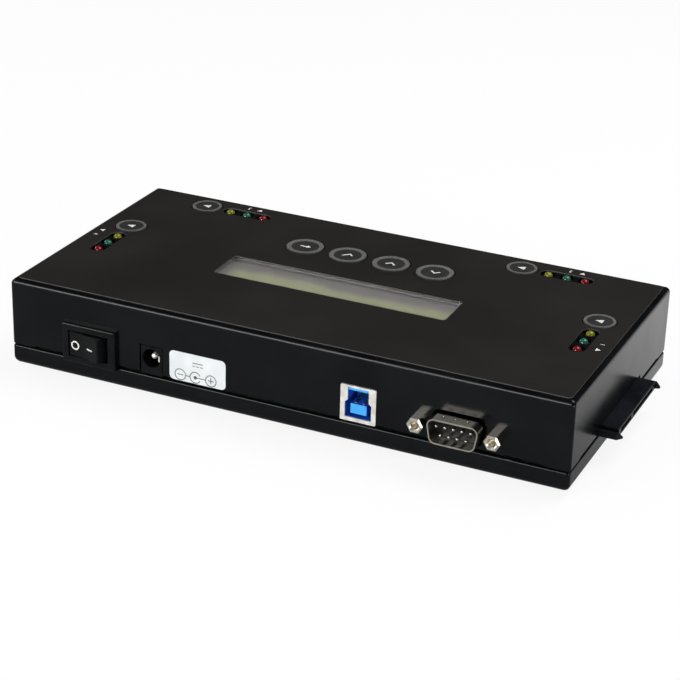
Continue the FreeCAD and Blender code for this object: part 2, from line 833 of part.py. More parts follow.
# Keys and lamps
def make_keys():
    # Each cap is turned with its retaining flange and the stem that runs in its switch
    crown = f"({face_level} + dims.key_proud)"
    shoulder = f"({ceiling} - dims.hole_clearance)"
    flange_base = f"({shoulder} - dims.key_flange)"
    switch_top = f"({panel_top} + dims.key_switch_height)"
    stem_base = f"({switch_top} - dims.stem_engage)"
    for label, x, y, radius in key_places():
        body = new_body(label)
        revolve(body, [
            (0, stem_base),
            ("dims.stem_radius", stem_base),
            ("dims.stem_radius", flange_base),
            (f"{radius} + dims.key_lip", flange_base),
            (f"{radius} + dims.key_lip", shoulder),
            (radius, shoulder),
            (radius, f"{crown} - dims.key_bevel"),
            (f"{radius} - dims.key_bevel", crown),
            (f"{radius} - 2 * dims.key_bevel", crown),
            (f"{radius} - dims.key_rim", f"{crown} - dims.key_dish"),
            (0, f"{crown} - dims.key_dish"),
        ])
        move(body, x, y, 0)
        keep(body, label)

    housing = new_body("key_switch_one")
    side = sketch_on(housing, "XY_Plane", panel_top)
    rectangle(side, 0, 0, "dims.key_switch_side", "dims.key_switch_side")
    pad(housing, side, "dims.key_switch_height")
    bevel_edges(housing, "dims.key_switch_edge", along("Z"))
    bore = sketch_on(housing, "XY_Plane", switch_top)
    circle(bore, 0, 0, "dims.stem_radius + dims.running_clearance")
    pocket(housing, bore, "dims.stem_engage + dims.key_travel + dims.stem_spare")
    group("key_switches", [copy_at(housing, x, y, 0) for label, x, y, radius in key_places()])


def make_lamps():
    tip = f"({face_level} + dims.led_proud)"
    base = f"({tip} - dims.led_length)"
    lamp = new_body("lamp_one")
    revolve(lamp, [
        (0, base),
        ("dims.led_radius + dims.led_rim", base),
        ("dims.led_radius + dims.led_rim", f"{base} + dims.led_rim_height"),
        ("dims.led_radius", f"{base} + dims.led_rim_height"),
        ("dims.led_radius", tip),
        (0, tip),
    ])
    round_edges(lamp, "dims.led_radius - dims.led_tip_flat", at_level(tip))
    legs = sketch_on(lamp, "XY_Plane", panel_top)
    for side in both_sides:
        rectangle(legs, f"{side} * dims.led_lead_spread / 2", 0, "dims.led_lead", "dims.led_lead")
    pad(lamp, legs, f"{base} - {panel_top}")
    for step, colour in enumerate(("yellow", "green", "red")):
        group(f"leds_{colour}", [copy_at(lamp, *lamp_places(key)[step], 0) for key in start_keys])


# The display module and the board that carries it
def outer_rim(text):
    # The outer edges of the display frame's top, not those of its opening
    level_test = at_level(text)
    reach = number("dims.lcd_view_depth / 2 + dims.lcd_bezel_wall")
    side = number("dims.lcd_view_length / 2 + dims.lcd_bezel_wall")
    middle_y = number(window_y)

    def test(edge):
        middle = edge.CenterOfMass
        return level_test(edge) and (abs(middle.y - middle_y) > reach or abs(middle.x) > side)
    return test


def make_display():
    bezel_top = f"({ceiling} - dims.lcd_bezel_drop)"
    bezel_height = f"({bezel_top} - {lcd_top})"
    bezel = plate("lcd_bezel", 0, window_y, lcd_top, lcd_bezel_length, "dims.lcd_bezel_depth", bezel_height)
    hollow_length = f"({lcd_bezel_length} - 2 * dims.lcd_bezel_wall)"
    hollow_depth = "(dims.lcd_bezel_depth - 2 * dims.lcd_bezel_wall)"
    hollow = sketch_on(bezel, "XY_Plane", lcd_top)
    rectangle(hollow, 0, window_y, hollow_length, hollow_depth)
    pocket(bezel, hollow, f"{bezel_height} - dims.lcd_bezel_wall", along_normal=True)
    view = sketch_on(bezel, "XY_Plane", bezel_top)
    rectangle(view, 0, window_y, "dims.lcd_view_length", "dims.lcd_view_depth")
    pocket(bezel, view, "dims.lcd_bezel_wall")
    round_edges(bezel, "dims.lcd_bezel_round", outer_rim(bezel_top))

    glass_top = f"({bezel_top} - dims.lcd_bezel_wall - dims.lcd_fit)"
    glass_base = f"({glass_top} - dims.lcd_glass_thick)"
    fit_length = f"{hollow_length} - 2 * dims.lcd_fit"
    fit_depth = f"{hollow_depth} - 2 * dims.lcd_fit"
    plate("lcd_glass", 0, window_y, glass_base, fit_length, fit_depth, "dims.lcd_glass_thick")
    plate("lcd_backlight", 0, window_y, lcd_top, fit_length, fit_depth, f"{glass_base} - {lcd_top}")

    board = plate("lcd_board", 0, window_y, lcd_bottom, "dims.lcd_length", "dims.lcd_depth",
                  "dims.board_thick")
    holes = sketch_on(board, "XY_Plane", lcd_top)
    for x, y in lcd_corners():
        circle(holes, x, y, screw_hole)
    pocket(board, holes, "dims.board_thick")


def make_control_board():
    body = new_body("control_board")
    half = f"({end_face} - dims.panel_end_margin)"
    rear_y = f"({rear_face} - dims.panel_rear_margin)"
    front_y = f"({front_face} + dims.panel_front_margin)"
    notch_x = f"({end_face} - dims.pillar_inset - dims.pillar_across)"
    notch_y = f"({front_face} + dims.pillar_inset + dims.pillar_across)"
    sketch = sketch_on(body, "XY_Plane", panel_bottom)
    outline(sketch, [
        (f"-{half}", rear_y),
        (f"-{half}", notch_y),
        (f"-{notch_x}", notch_y),
        (f"-{notch_x}", front_y),
        (notch_x, front_y),
        (notch_x, notch_y),
        (half, notch_y),
        (half, rear_y),
    ])
    pad(body, sketch, "dims.board_thick")
    cuts = sketch_on(body, "XY_Plane", panel_top)
    rectangle(cuts, 0, window_y, f"{lcd_bezel_length} + 2 * dims.panel_cut_gap",
              "dims.lcd_bezel_depth + 2 * dims.panel_cut_gap")
    for x, y in panel_holes() + lcd_corners():
        circle(cuts, x, y, screw_hole)
    pocket(body, cuts, "dims.board_thick")
    keep(body, "control_board")


# The rocker switch
def make_rocker_housing(pivot_y):
    front = f"({rear_face} + dims.bezel_thick)"
    body = new_body("rocker_housing")
    frame = sketch_on(body, "XZ_Plane", f"-{front}")
    rectangle(frame, rocker_x, rocker_z, "dims.bezel_length", "dims.bezel_height")
    pad(body, frame, "dims.bezel_thick")
    round_edges(body, "dims.bezel_round", at_level(front, "Y"))
    rear = sketch_on(body, "XZ_Plane", f"-{rear_face}")
    rectangle(rear, rocker_x, rocker_z, "dims.rocker_body_length", "dims.rocker_body_height")
    pad(body, rear, "dims.rocker_body_depth")

    # Two wedges snap in behind the panel
    latch_y = f"({rear_face} - dims.sheet_thick - dims.hole_clearance)"
    latches = sketch_on(body, "XY_Plane", f"{rocker_z} - dims.latch_height / 2")
    for side in both_sides:
        root = f"{rocker_x} + {side} * dims.rocker_body_length / 2"
        outline(latches, [
            (root, latch_y),
            (f"{root} + {side} * dims.latch_reach", latch_y),
            (root, f"{latch_y} - dims.latch_length"),
        ])
    pad(body, latches, "dims.latch_height")

    mouth = sketch_on(body, "XZ_Plane", f"-{front}")
    rectangle(mouth, rocker_x, rocker_z, "dims.rocker_mouth_length", "dims.rocker_mouth_height")
    pocket(body, mouth, "dims.bezel_thick + dims.rocker_cavity", along_normal=True)
    hole_half = "(dims.paddle_height / 2 + dims.pivot_length + dims.hole_clearance)"
    pivot = sketch_on(body, "XY_Plane", f"{rocker_z} - {hole_half}")
    circle(pivot, rocker_x, pivot_y, "dims.pivot_radius + dims.running_clearance")
    pocket(body, pivot, f"2 * {hole_half}", along_normal=True)
    keep(body, "rocker_housing")


def make_rocker_paddle(pivot_y):
    # Drawn level, about its pivot, and tipped to its O side
    body = new_body("rocker_paddle")
    plan = sketch_on(body, "XY_Plane", "-dims.paddle_height / 2")
    outline(plan, [
        (0, "dims.paddle_valley"),
        ("-dims.paddle_half", "dims.paddle_crest"),
        ("-dims.paddle_half - dims.paddle_flare", "-dims.paddle_tail"),
        ("-dims.paddle_root", "-dims.paddle_root"),
        ("dims.paddle_root", "-dims.paddle_root"),
        ("dims.paddle_half + dims.paddle_flare", "-dims.paddle_tail"),
        ("dims.paddle_half", "dims.paddle_crest"),
    ])
    pad(body, plan, "dims.paddle_height")
    crest = number("dims.paddle_crest")
    valley = number("dims.paddle_valley")

    def crest_edge(edge):
        return along("Z")(edge) and abs(edge.CenterOfMass.y - crest) < 1e-4

    def valley_edge(edge):
        middle = edge.CenterOfMass
        return along("Z")(edge) and abs(middle.y - valley) < 1e-4 and abs(middle.x) < 1e-4
    round_edges(body, "dims.paddle_round", crest_edge)
    round_edges(body, "dims.paddle_hollow", valley_edge)
    pins = sketch_on(body, "XY_Plane", "-dims.paddle_height / 2 - dims.pivot_length")
    circle(pins, 0, 0, "dims.pivot_radius")
    pad(body, pins, "dims.paddle_height + 2 * dims.pivot_length")
    body.Placement = turned((0, 0, 1), -1)
    body.setExpression("Placement.Rotation.Angle", "-dims.rocker_tilt")
    move(body, rocker_x, pivot_y, rocker_z)
    keep(body, "rocker_paddle")


def bent_lead(x, start_y):
    # From a switch blade straight back, round one bend and down to the board
    start = point(x, start_y, rocker_z)
    radius = number("dims.lead_bend")
    bend_start = start + FreeCAD.Vector(0, -number("dims.lead_run"), 0)
    bend_end = bend_start + FreeCAD.Vector(0, -radius, -radius)
    slant = radius * math.sin(math.pi / 4)
    middle = bend_start + FreeCAD.Vector(0, -slant, slant - radius)
    foot = FreeCAD.Vector(bend_end.x, bend_end.y, number(board_top))
    path = Part.Wire([
        Part.LineSegment(start, bend_start).toShape(),
        Part.Arc(bend_start, middle, bend_end).toShape(),
        Part.LineSegment(bend_end, foot).toShape(),
    ])
    ring = Part.Circle(start, FreeCAD.Vector(0, -1, 0), number("dims.lead_radius"))
    lead = doc.addObject("Part::Feature", "lead")
    lead.Shape = path.makePipeShell([Part.Wire(ring.toShape())], True, False)
    return lead


def make_rocker():
    pivot_y = f"({rear_face} - dims.pivot_depth)"
    make_rocker_housing(pivot_y)
    make_rocker_paddle(pivot_y)
    back = f"({rear_face} - dims.rocker_body_depth)"
    tip = f"({back} - dims.blade_length)"
    blades = []
    leads = []
    for side in both_sides:
        x = f"({rocker_x} + {side} * dims.blade_spread / 2)"
        blades.append(block(x, f"({back} + {tip}) / 2", f"{rocker_z} - dims.blade_height / 2",
                            "dims.blade_thick", "dims.blade_length", "dims.blade_height"))
        leads.append(bent_lead(x, tip))
    group("switch_terminals", blades)
    group("switch_leads", leads)


# Sockets in the rear wall
def round_pin(name, radius, length, tip_round):
    # A pin along +Z from its body's origin, with a rounded free end
    body = new_body(name)
    base = sketch_on(body, "XY_Plane", 0)
    circle(base, 0, 0, radius)
    pad(body, base, length)
    round_edges(body, tip_round, at_level(length))
    return body


def make_power_inlet():
    face_y = f"({rear_face} - dims.jack_setback)"
    low = "(dims.foot_height + dims.jack_bottom)"
    high = "(dims.foot_height + dims.jack_top)"
    body = new_body("jack_body")
    nose = sketch_on(body, "XZ_Plane", f"-{face_y}")
    rectangle(nose, jack_x, f"({low} + {high}) / 2", "dims.jack_width", f"{high} - {low}")
    pad(body, nose, "dims.board_rear_margin - dims.jack_setback - dims.slot_clearance")
    bevel_edges(body, "dims.jack_edge", at_level(face_y, "Y"))
    block_front = f"({rear_face} - dims.board_rear_margin + dims.slot_clearance)"
    rear = sketch_on(body, "XZ_Plane", f"-{block_front}")
    rectangle(rear, jack_x, f"({board_top} + {high}) / 2", "dims.jack_width", f"{high} - {board_top}")
    pad(body, rear, "dims.jack_depth - dims.board_rear_margin")
    bore_z = "(dims.foot_height + dims.jack_bore_level)"
    bore = sketch_on(body, "XZ_Plane", f"-{face_y}")
    circle(bore, jack_x, bore_z, "dims.jack_bore_radius")
    pocket(body, bore, "dims.jack_bore_depth", along_normal=True)
    keep(body, "jack_body")

    floor_y = f"({face_y} - dims.jack_bore_depth)"
    pin_length = "(dims.jack_bore_depth - dims.jack_pin_setback)"
    pin = round_pin("jack_pin_one", "dims.jack_pin_radius", pin_length, "dims.jack_pin_round")
    strip = block(f"{jack_x} - dims.jack_strip_offset", f"{floor_y} + dims.jack_strip_length / 2",
                  f"{bore_z} - dims.jack_strip_width / 2", "dims.jack_strip_thick", "dims.jack_strip_length",
                  "dims.jack_strip_width")
    group("jack_contacts", [copy_at(pin, jack_x, floor_y, bore_z, *facing_rear), strip])

    label = new_body("rating_label")
    face = sketch_on(label, "XZ_Plane", f"-{rear_face} - dims.label_thick")
    rectangle(face, label_x, "dims.foot_height + dims.label_level", "dims.label_length", "dims.label_height",
              "dims.label_corner")
    pad(label, face, "dims.label_thick")
    keep(label, "rating_label")


def usb_opening(sketch, drop):
    # The socket's stepped mouth: wide below, sloped shoulders, narrower above
    low = "(dims.usb_low_width / 2)"
    high = "(dims.usb_high_width / 2)"
    sill = f"({board_top} + dims.usb_sill)"
    step = f"({board_top} + dims.usb_step)"
    shoulder = f"({step} + dims.usb_slope)"
    top = f"({board_top} + dims.usb_height - dims.usb_lintel - {drop})"
    outline(sketch, [
        (f"{usb_x} - {low}", sill),
        (f"{usb_x} + {low}", sill),
        (f"{usb_x} + {low}", step),
        (f"{usb_x} + {high}", shoulder),
        (f"{usb_x} + {high}", top),
        (f"{usb_x} - {high}", top),
        (f"{usb_x} - {high}", shoulder),
        (f"{usb_x} - {low}", step),
    ])


def make_usb():
    front = f"({rear_face} + dims.usb_proud)"
    back = f"({front} - dims.usb_depth)"
    middle_z = f"({board_top} + dims.usb_height / 2)"
    hollow_width = "dims.usb_width - 2 * dims.usb_wall"
    hollow_height = "dims.usb_height - 2 * dims.usb_wall"
    shell = new_body("usb_shell")
    face = sketch_on(shell, "XZ_Plane", f"-{front}")
    rectangle(face, usb_x, middle_z, "dims.usb_width", "dims.usb_height", "dims.usb_corner")
    pad(shell, face, "dims.usb_depth")
    hollow = sketch_on(shell, "XZ_Plane", f"-{back}")
    rectangle(hollow, usb_x, middle_z, hollow_width, hollow_height)
    pocket(shell, hollow, "dims.usb_depth - dims.usb_front")
    mouth = sketch_on(shell, "XZ_Plane", f"-{front}")
    usb_opening(mouth, 0)
    pocket(shell, mouth, "dims.usb_front", along_normal=True)
    keep(shell, "usb_shell")

    insert = new_body("usb_insert")
    insert_front = f"({front} - dims.usb_front)"
    fill = sketch_on(insert, "XZ_Plane", f"-{insert_front}")
    rectangle(fill, usb_x, middle_z, hollow_width, hollow_height)
    pad(insert, fill, "dims.usb_depth - dims.usb_front")
    cavity = sketch_on(insert, "XZ_Plane", f"-{insert_front}")
    usb_opening(cavity, "dims.usb_brow")
    tongue_low = f"({board_top} + dims.usb_tongue_level)"
    rectangle(cavity, usb_x, f"{tongue_low} + dims.usb_tongue_height / 2", "dims.usb_tongue_width",
              "dims.usb_tongue_height")
    pocket(insert, cavity, "dims.usb_cavity", along_normal=True)
    keep(insert, "usb_insert")

    # Sprung strips lie on the tongue's two broad faces, from the cavity's floor
    strips = []
    strip_y = f"({insert_front} - dims.usb_cavity + dims.usb_strip_length / 2)"
    levels = (f"{tongue_low} - dims.usb_strip_thick", f"{tongue_low} + dims.usb_tongue_height")
    for side in both_sides:
        x = f"({usb_x} + {side} * dims.usb_strip_spread / 2)"
        for level in levels:
            strips.append(block(x, strip_y, level, "dims.usb_strip_width", "dims.usb_strip_length",
                                "dims.usb_strip_thick"))
    group("usb_contacts", strips)


def tube_root(level_text):
    # The edges where the D-shaped tube meets its flange, on the flange's front
    level_test = at_level(level_text, "Y")
    reach = number("dims.serial_width / 2 + dims.serial_wall / 2")
    middle_x = number(serial_x)

    def test(edge):
        box = edge.BoundBox
        return level_test(edge) and max(middle_x - box.XMin, box.XMax - middle_x) < reach
    return test


def press_dimples(shell, tip):
    # Three dimples above and two below, which grip the mating plug
    sink = "(dims.dimple_radius - dims.dimple_depth)"
    y = f"{tip} - dims.dimple_from_tip"
    for count, side in ((3, 1), (2, -1)):
        for step in range(count):
            x = f"{serial_x} + {step - (count - 1) / 2} * dims.dimple_pitch"
            ball = shell.newObject("PartDesign::SubtractiveSphere", "serial_dimple")
            ball.setExpression("Radius", "dims.dimple_radius")
            move(ball, x, y, f"{serial_z} + {side} * (dims.serial_height / 2 + {sink})")


def make_serial_shell(inner, tip, inner_corner):
    shell = new_body("serial_shell")
    flange = sketch_on(shell, "XZ_Plane", f"-{inner}")
    rectangle(flange, serial_x, serial_z, "dims.serial_flange_length", "dims.serial_flange_height",
              "dims.serial_flange_corner")
    pad(shell, flange, "dims.serial_flange_thick")
    tube = sketch_on(shell, "XZ_Plane", f"-{tip}")
    rounded_outline(tube, d_corners(0), "dims.serial_corner")
    pad(shell, tube, "dims.serial_reach + dims.sheet_thick")
    round_edges(shell, "dims.serial_root", tube_root(inner))
    hollow = sketch_on(shell, "XZ_Plane", f"-{tip}")
    rounded_outline(hollow, d_corners("(-dims.serial_wall)"), inner_corner)
    pocket(shell, hollow, "dims.serial_reach + dims.sheet_thick + dims.serial_flange_thick",
           along_normal=True)
    holes = sketch_on(shell, "XZ_Plane", f"-{inner}")
    for x in post_places():
        circle(holes, x, serial_z, post_hole)
    pocket(shell, holes, "dims.serial_flange_thick", along_normal=True)
    press_dimples(shell, tip)
    keep(shell, "serial_shell")


def make_serial_insulator(back, floor_y, inner_corner):
    body = new_body("serial_insulator")
    plug = sketch_on(body, "XZ_Plane", f"-{floor_y}")
    rounded_outline(plug, d_corners("(-dims.serial_wall - dims.serial_fit)"), inner_corner)
    pad(body, plug, f"{floor_y} - {back}")
    block_high = f"({serial_z} + dims.serial_height / 2)"
    rear = sketch_on(body, "XZ_Plane", f"-{back}")
    rectangle(rear, serial_x, f"({board_top} + {block_high}) / 2",
              "dims.serial_width + 2 * dims.serial_block_lap", f"{block_high} - {board_top}")
    pad(body, rear, "dims.serial_block_depth")
    bores = sketch_on(body, "XZ_Plane", f"-{floor_y}")
    for x, z in serial_pin_places():
        circle(bores, x, z, "dims.serial_pin_radius")
    pocket(body, bores, "dims.serial_block_depth", along_normal=True)
    keep(body, "serial_insulator")


def make_serial_posts():
    post = new_body("serial_post_one")
    head = sketch_on(post, "XY_Plane", 0)
    hexagon(head, 0, 0, "dims.post_across")
    pad(post, head, "dims.post_length")
    shank = sketch_on(post, "XY_Plane", "-dims.sheet_thick - dims.post_shank")
    circle(shank, 0, 0, "dims.post_shank_radius")
    pad(post, shank, "dims.sheet_thick + dims.post_shank")
    tip_test = at_level("dims.post_length")
    bore_limit = number("dims.post_bore_radius + dims.post_across / 2")
    bore = sketch_on(post, "XY_Plane", "dims.post_length")
    circle(bore, 0, 0, "dims.post_bore_radius")
    pocket(post, bore, "dims.post_bore_depth")
    bevel_edges(post, "dims.post_edge", lambda edge: tip_test(edge) and edge.BoundBox.XLength < bore_limit)
    flat = "(dims.post_across / 2)"
    outside = "(dims.post_across / sqrt(3) + dims.post_edge)"
    revolve(post, [
        (flat, "dims.post_length"),
        (outside, "dims.post_length"),
        (outside, f"dims.post_length - ({outside} - {flat})"),
    ], "Groove")
    group("serial_posts", [copy_at(post, x, rear_face, serial_z, *facing_rear) for x in post_places()])


def make_serial():
    inner = f"({rear_face} - dims.sheet_thick)"
    back = f"({inner} - dims.serial_flange_thick)"
    tip = f"({rear_face} + dims.serial_reach)"
    floor_y = f"({tip} - dims.serial_floor)"
    inner_corner = "dims.serial_corner - dims.serial_wall"
    make_serial_shell(inner, tip, inner_corner)
    make_serial_insulator(back, floor_y, inner_corner)
    pin_back = f"({floor_y} - dims.serial_block_depth)"
    pin_length = f"{tip} - dims.serial_pin_setback - {pin_back}"
    pin = round_pin("serial_pin_one", "dims.serial_pin_radius", pin_length, "dims.serial_pin_round")
    group("serial_pins", [copy_at(pin, x, pin_back, z, *facing_rear) for x, z in serial_pin_places()])
    make_serial_posts()


# Drive sockets in the other three walls
def make_drive_sockets():
    # One socket and its contacts, drawn for a wall whose outer face is Y = 0 and which faces -Y
    arm_in = "(dims.sata_slab / 2 + dims.sata_groove)"
    arm_top = f"({sata_high} - dims.sata_arm_drop)"
    slab_back = "(dims.board_margin + dims.sata_seat)"
    slab_depth = f"(dims.sata_reach + {slab_back})"
    base_depth = "(dims.sata_reach + dims.board_margin)"
    socket = new_body("drive_socket")
    base = sketch_on(socket, "XY_Plane", sata_low)
    rectangle(base, 0, f"(dims.board_margin - {base_depth} / 2)", f"2 * {sata_half}", base_depth)
    pad(socket, base, f"{board_top} - {sata_low}")
    slab = sketch_on(socket, "XY_Plane", board_top)
    rectangle(slab, 0, f"({slab_back} - {slab_depth} / 2)", "dims.sata_slab", slab_depth)
    pad(socket, slab, f"{sata_high} - {board_top}")
    bevel_edges(socket, "dims.sata_edge", at_level(sata_high))
    arms = sketch_on(socket, "XY_Plane", sata_low)
    for side in both_sides:
        outline(arms, [
            (f"{side} * {arm_in}", "dims.board_margin"),
            (f"{side} * {arm_in}", "-dims.sata_horn"),
            (f"{side} * ({arm_in} + dims.sata_horn_width)", "-dims.sata_horn"),
            (f"{side} * {sata_half}", "-dims.sata_reach"),
            (f"{side} * {sata_half}", "dims.board_margin"),
        ])
    pad(socket, arms, f"{arm_top} - {sata_low}")
    # Above and below, the arms run out to thin horns level with the slots' floor
    taper = sketch_on(socket, "YZ_Plane", sata_half)
    for edge, side in ((sata_low, -1), (arm_top, 1)):
        tip = f"({board_top} + {side} * dims.sata_horn_height / 2)"
        outline(taper, [("-dims.sata_reach", edge), ("-dims.sata_horn", tip), ("-dims.sata_horn", edge)])
    pocket(socket, taper, through=True)
    slots = sketch_on(socket, "XZ_Plane", f"-{slab_back}")
    for x, width, count in sata_openings():
        rectangle(slots, x, f"{board_top} + dims.sata_slot_height / 2", width, "dims.sata_slot_height")
    pocket(socket, slots, through=True, along_normal=True)
    for label, (x, y, turn) in sata_places.items():
        group(label, [copy_at(socket, x, y, 0, angle=turn)])

    front = "(dims.sata_contact_setback - dims.sata_reach)"
    tail_end = f"({slab_back} + dims.sata_tail)"
    strips = []
    for x, width, count in sata_openings():
        for step in range(count):
            place = f"({x} + {step - (count - 1) / 2} * dims.sata_contact_pitch)"
            strips.append(block(place, f"({front} + {tail_end}) / 2", board_top, "dims.sata_contact_width",
                                f"{tail_end} - {front}", "dims.sata_contact_thick"))
    strip_row = cluster("contact_row", strips)
    group("sata_contacts", [copy_at(strip_row, x, y, 0, angle=turn) for x, y, turn in sata_places.values()])


# The main board and what stands on it
def make_main_board():
    body = new_body("main_board")
    half = f"({end_face} - dims.board_margin)"
    rear_y = f"({rear_face} - dims.board_rear_margin)"
    front_y = f"({front_face} + dims.board_margin)"
    notch_half = "(dims.rocker_body_length / 2 + dims.hole_clearance)"
    notch_y = f"({rear_face} - dims.rocker_body_depth - dims.hole_clearance)"
    sketch = sketch_on(body, "XY_Plane", board_bottom)
    outline(sketch, [
        (f"-{half}", front_y),
        (half, front_y),
        (half, rear_y),
        (f"{rocker_x} + {notch_half}", rear_y),
        (f"{rocker_x} + {notch_half}", notch_y),
        (f"{rocker_x} - {notch_half}", notch_y),
        (f"{rocker_x} - {notch_half}", rear_y),
        (f"-{half}", rear_y),
    ])
    pad(body, sketch, "dims.board_thick")
    holes = sketch_on(body, "XY_Plane", board_top)
    for x, y in board_holes():
        circle(holes, x, y, screw_hole)
    for x, y in corner_places("dims.pillar_inset"):
        circle(holes, x, y, "dims.pillar_across / sqrt(3) + dims.hole_clearance")
    pocket(body, holes, "dims.board_thick")
    keep(body, "main_board")


def make_board_parts():
    chip_y = f"({rear_face} - dims.chip_from_rear)"
    chip = plate("controller_chip", "-dims.chip_from_middle", chip_y, board_top, "dims.chip_side",
                 "dims.chip_side", "dims.chip_thick")
    bevel_edges(chip, "dims.chip_edge", at_level(f"{board_top} + dims.chip_thick"))
    small_x = [f"dims.chip_from_middle + {step} * dims.small_chip_pitch" for step in (-1, 0, 1)]
    group("support_chips", [block(x, chip_y, board_top, "dims.small_chip_side", "dims.small_chip_side",
                                  "dims.small_chip_thick") for x in small_x])

    can = new_body("capacitor_one")
    can_base = sketch_on(can, "XY_Plane", board_top)
    circle(can_base, 0, 0, "dims.capacitor_radius")
    pad(can, can_base, "dims.capacitor_height")
    round_edges(can, "dims.capacitor_edge", at_level(f"{board_top} + dims.capacitor_height"))
    first_can = "dims.screw_head_radius + dims.capacitor_gap + dims.capacitor_radius"
    can_x = [f"({first_can} + {step} * dims.capacitor_pitch)" for step in range(4)]
    group("capacitors", [copy_at(can, x, f"{rear_face} - dims.capacitor_from_rear", 0) for x in can_x])

    coil = new_body("inductor_one")
    coil_base = sketch_on(coil, "XY_Plane", board_top)
    rectangle(coil_base, 0, 0, "dims.inductor_side", "dims.inductor_side")
    pad(coil, coil_base, "dims.inductor_height")
    bevel_edges(coil, "dims.inductor_edge", along("Z"))
    coil_x = [f"({end_face} - dims.inductor_from_end - {step} * dims.inductor_pitch)" for step in range(3)]
    group("inductors", [copy_at(coil, x, f"{rear_face} - dims.inductor_from_rear", 0) for x in coil_x])

    # A tall socket on the main board, its plug under the control board and the display's pin strip
    header_reach = "(dims.screw_head_radius + dims.header_clear + dims.header_length / 2)"
    header_x = f"({panel_front_x} - {header_reach})"
    header_y = f"({window_y} - dims.lcd_depth / 2 - dims.header_gap - dims.header_width / 2)"
    plug_base = f"({panel_bottom} - dims.header_plug_height)"
    strip_y = f"({window_y} + dims.lcd_depth / 2 - dims.lcd_hole_inset)"
    group("board_headers", [
        block(header_x, header_y, board_top, "dims.header_length", "dims.header_width",
              f"{plug_base} - {board_top}"),
        block(header_x, header_y, plug_base, "dims.header_length", "dims.header_width",
              "dims.header_plug_height"),
        block(0, strip_y, lcd_top, "dims.strip_length", "dims.strip_width", "dims.lcd_gap"),
    ])


# Standoffs, screws and feet
def hex_standoff(name, height, across, bore_depth):
    body = new_body(name)
    sketch = sketch_on(body, "XY_Plane", 0)
    hexagon(sketch, 0, 0, across)
    pad(body, sketch, height)
    bore = sketch_on(body, "XY_Plane", 0)
    circle(bore, 0, 0, screw_hole)
    pocket(body, bore, bore_depth, along_normal=True)
    return body


def pan_screw(name, length):
    # Head above Z = 0, shank below, with a cross recess
    body = new_body(name)
    revolve(body, [
        (0, f"-({length})"),
        ("dims.screw_radius", f"-({length})"),
        ("dims.screw_radius", 0),
        ("dims.screw_head_radius", 0),
        ("dims.screw_head_radius", "dims.screw_head_height"),
        (0, "dims.screw_head_height"),
    ])
    round_edges(body, "dims.screw_head_round", at_level("dims.screw_head_height"))
    reach = "(dims.screw_recess_length / 2)"
    half = "(dims.screw_recess_width / 2)"
    recess = sketch_on(body, "XY_Plane", "dims.screw_head_height")
    corners = []
    for quarter in ((1, 0), (0, 1), (-1, 0), (0, -1)):
        ax, ay = quarter
        corners.append((f"{ax} * {reach} + {ay} * {half}", f"{ay} * {reach} - {ax} * {half}"))
        corners.append((f"{ax} * {reach} - {ay} * {half}", f"{ay} * {reach} + {ax} * {half}"))
        corners.append((f"({ax} - {ay}) * {half}", f"({ax} + {ay}) * {half}"))
    outline(recess, corners)
    pocket(body, recess, "dims.screw_recess_depth")
    return body


def make_fasteners():
    across = "dims.standoff_across"
    low = hex_standoff("board_standoff_one", standoff_height, across, standoff_height)
    hung = hex_standoff("panel_standoff_one", "dims.panel_standoff", across, "dims.screw_length")
    tall = hex_standoff("case_pillar_one", f"{ceiling} - {floor_top}", "dims.pillar_across",
                        "dims.pillar_thread_depth")
    corners = corner_places("dims.pillar_inset")
    group("board_standoffs", [copy_at(low, x, y, floor_top) for x, y in board_holes()])
    group("panel_standoffs", [copy_at(hung, x, y, panel_top) for x, y in panel_holes()])
    group("case_pillars", [copy_at(tall, x, y, floor_top) for x, y in corners])

    screw = pan_screw("screw_one", "dims.screw_length")
    board_screws = [copy_at(screw, x, y, board_top) for x, y in board_holes()]
    board_screws += [copy_at(screw, x, y, panel_bottom, *upside_down) for x, y in panel_holes()]
    group("board_screws", board_screws)
    group("case_screws", [copy_at(screw, x, y, "dims.foot_height", *upside_down) for x, y in corners])

    long_screw = pan_screw("lcd_screw_one", "2 * dims.board_thick + dims.lcd_gap + dims.nut_height")
    nut = hex_standoff("lcd_nut_one", "dims.nut_height", across, "dims.nut_height")
    spacer = hex_standoff("lcd_spacer_one", "dims.lcd_gap", across, "dims.lcd_gap")
    group("lcd_screws", [copy_at(long_screw, x, y, lcd_bottom, *upside_down) for x, y in lcd_corners()])
    group("lcd_nuts", [copy_at(nut, x, y, panel_top) for x, y in lcd_corners()])
    group("lcd_spacers", [copy_at(spacer, x, y, lcd_top) for x, y in lcd_corners()])

    foot = new_body("foot_one")
    revolve(foot, [
        (0, 0),
        ("dims.foot_radius - dims.foot_bevel", 0),
        ("dims.foot_radius", "dims.foot_bevel_height"),
        ("dims.foot_radius", "dims.foot_height"),
        (0, "dims.foot_height"),
    ])
    group("rubber_feet", [copy_at(foot, x, y, 0) for x, y in corner_places("dims.foot_inset")])


make_top_cover()
make_bottom_tray()
make_face()
make_keys()
make_lamps()
make_display()
make_control_board()
make_rocker()
make_power_inlet()
make_usb()
make_serial()
make_drive_sockets()
make_main_board()
make_board_parts()
make_fasteners()
doc.recompute()

for item in doc.Objects:
    if "Invalid" in item.State or "Error" in item.State:
        raise RuntimeError(f"{item.Name} failed: {item.State}")
for node in nodes:
    if node.Shape.isNull() or not node.Shape.isValid():
        raise RuntimeError(f"{node.Label} has no valid shape")

os.makedirs("parts", exist_ok=True)
for node in nodes:
    node.Shape.exportStep(f"parts/{node.Label}.step")
    print(node.Label, len(node.Shape.Solids), round(node.Shape.Volume, 2))
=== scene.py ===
import json
import math

import bmesh
import bpy
from mathutils import Matrix, Vector


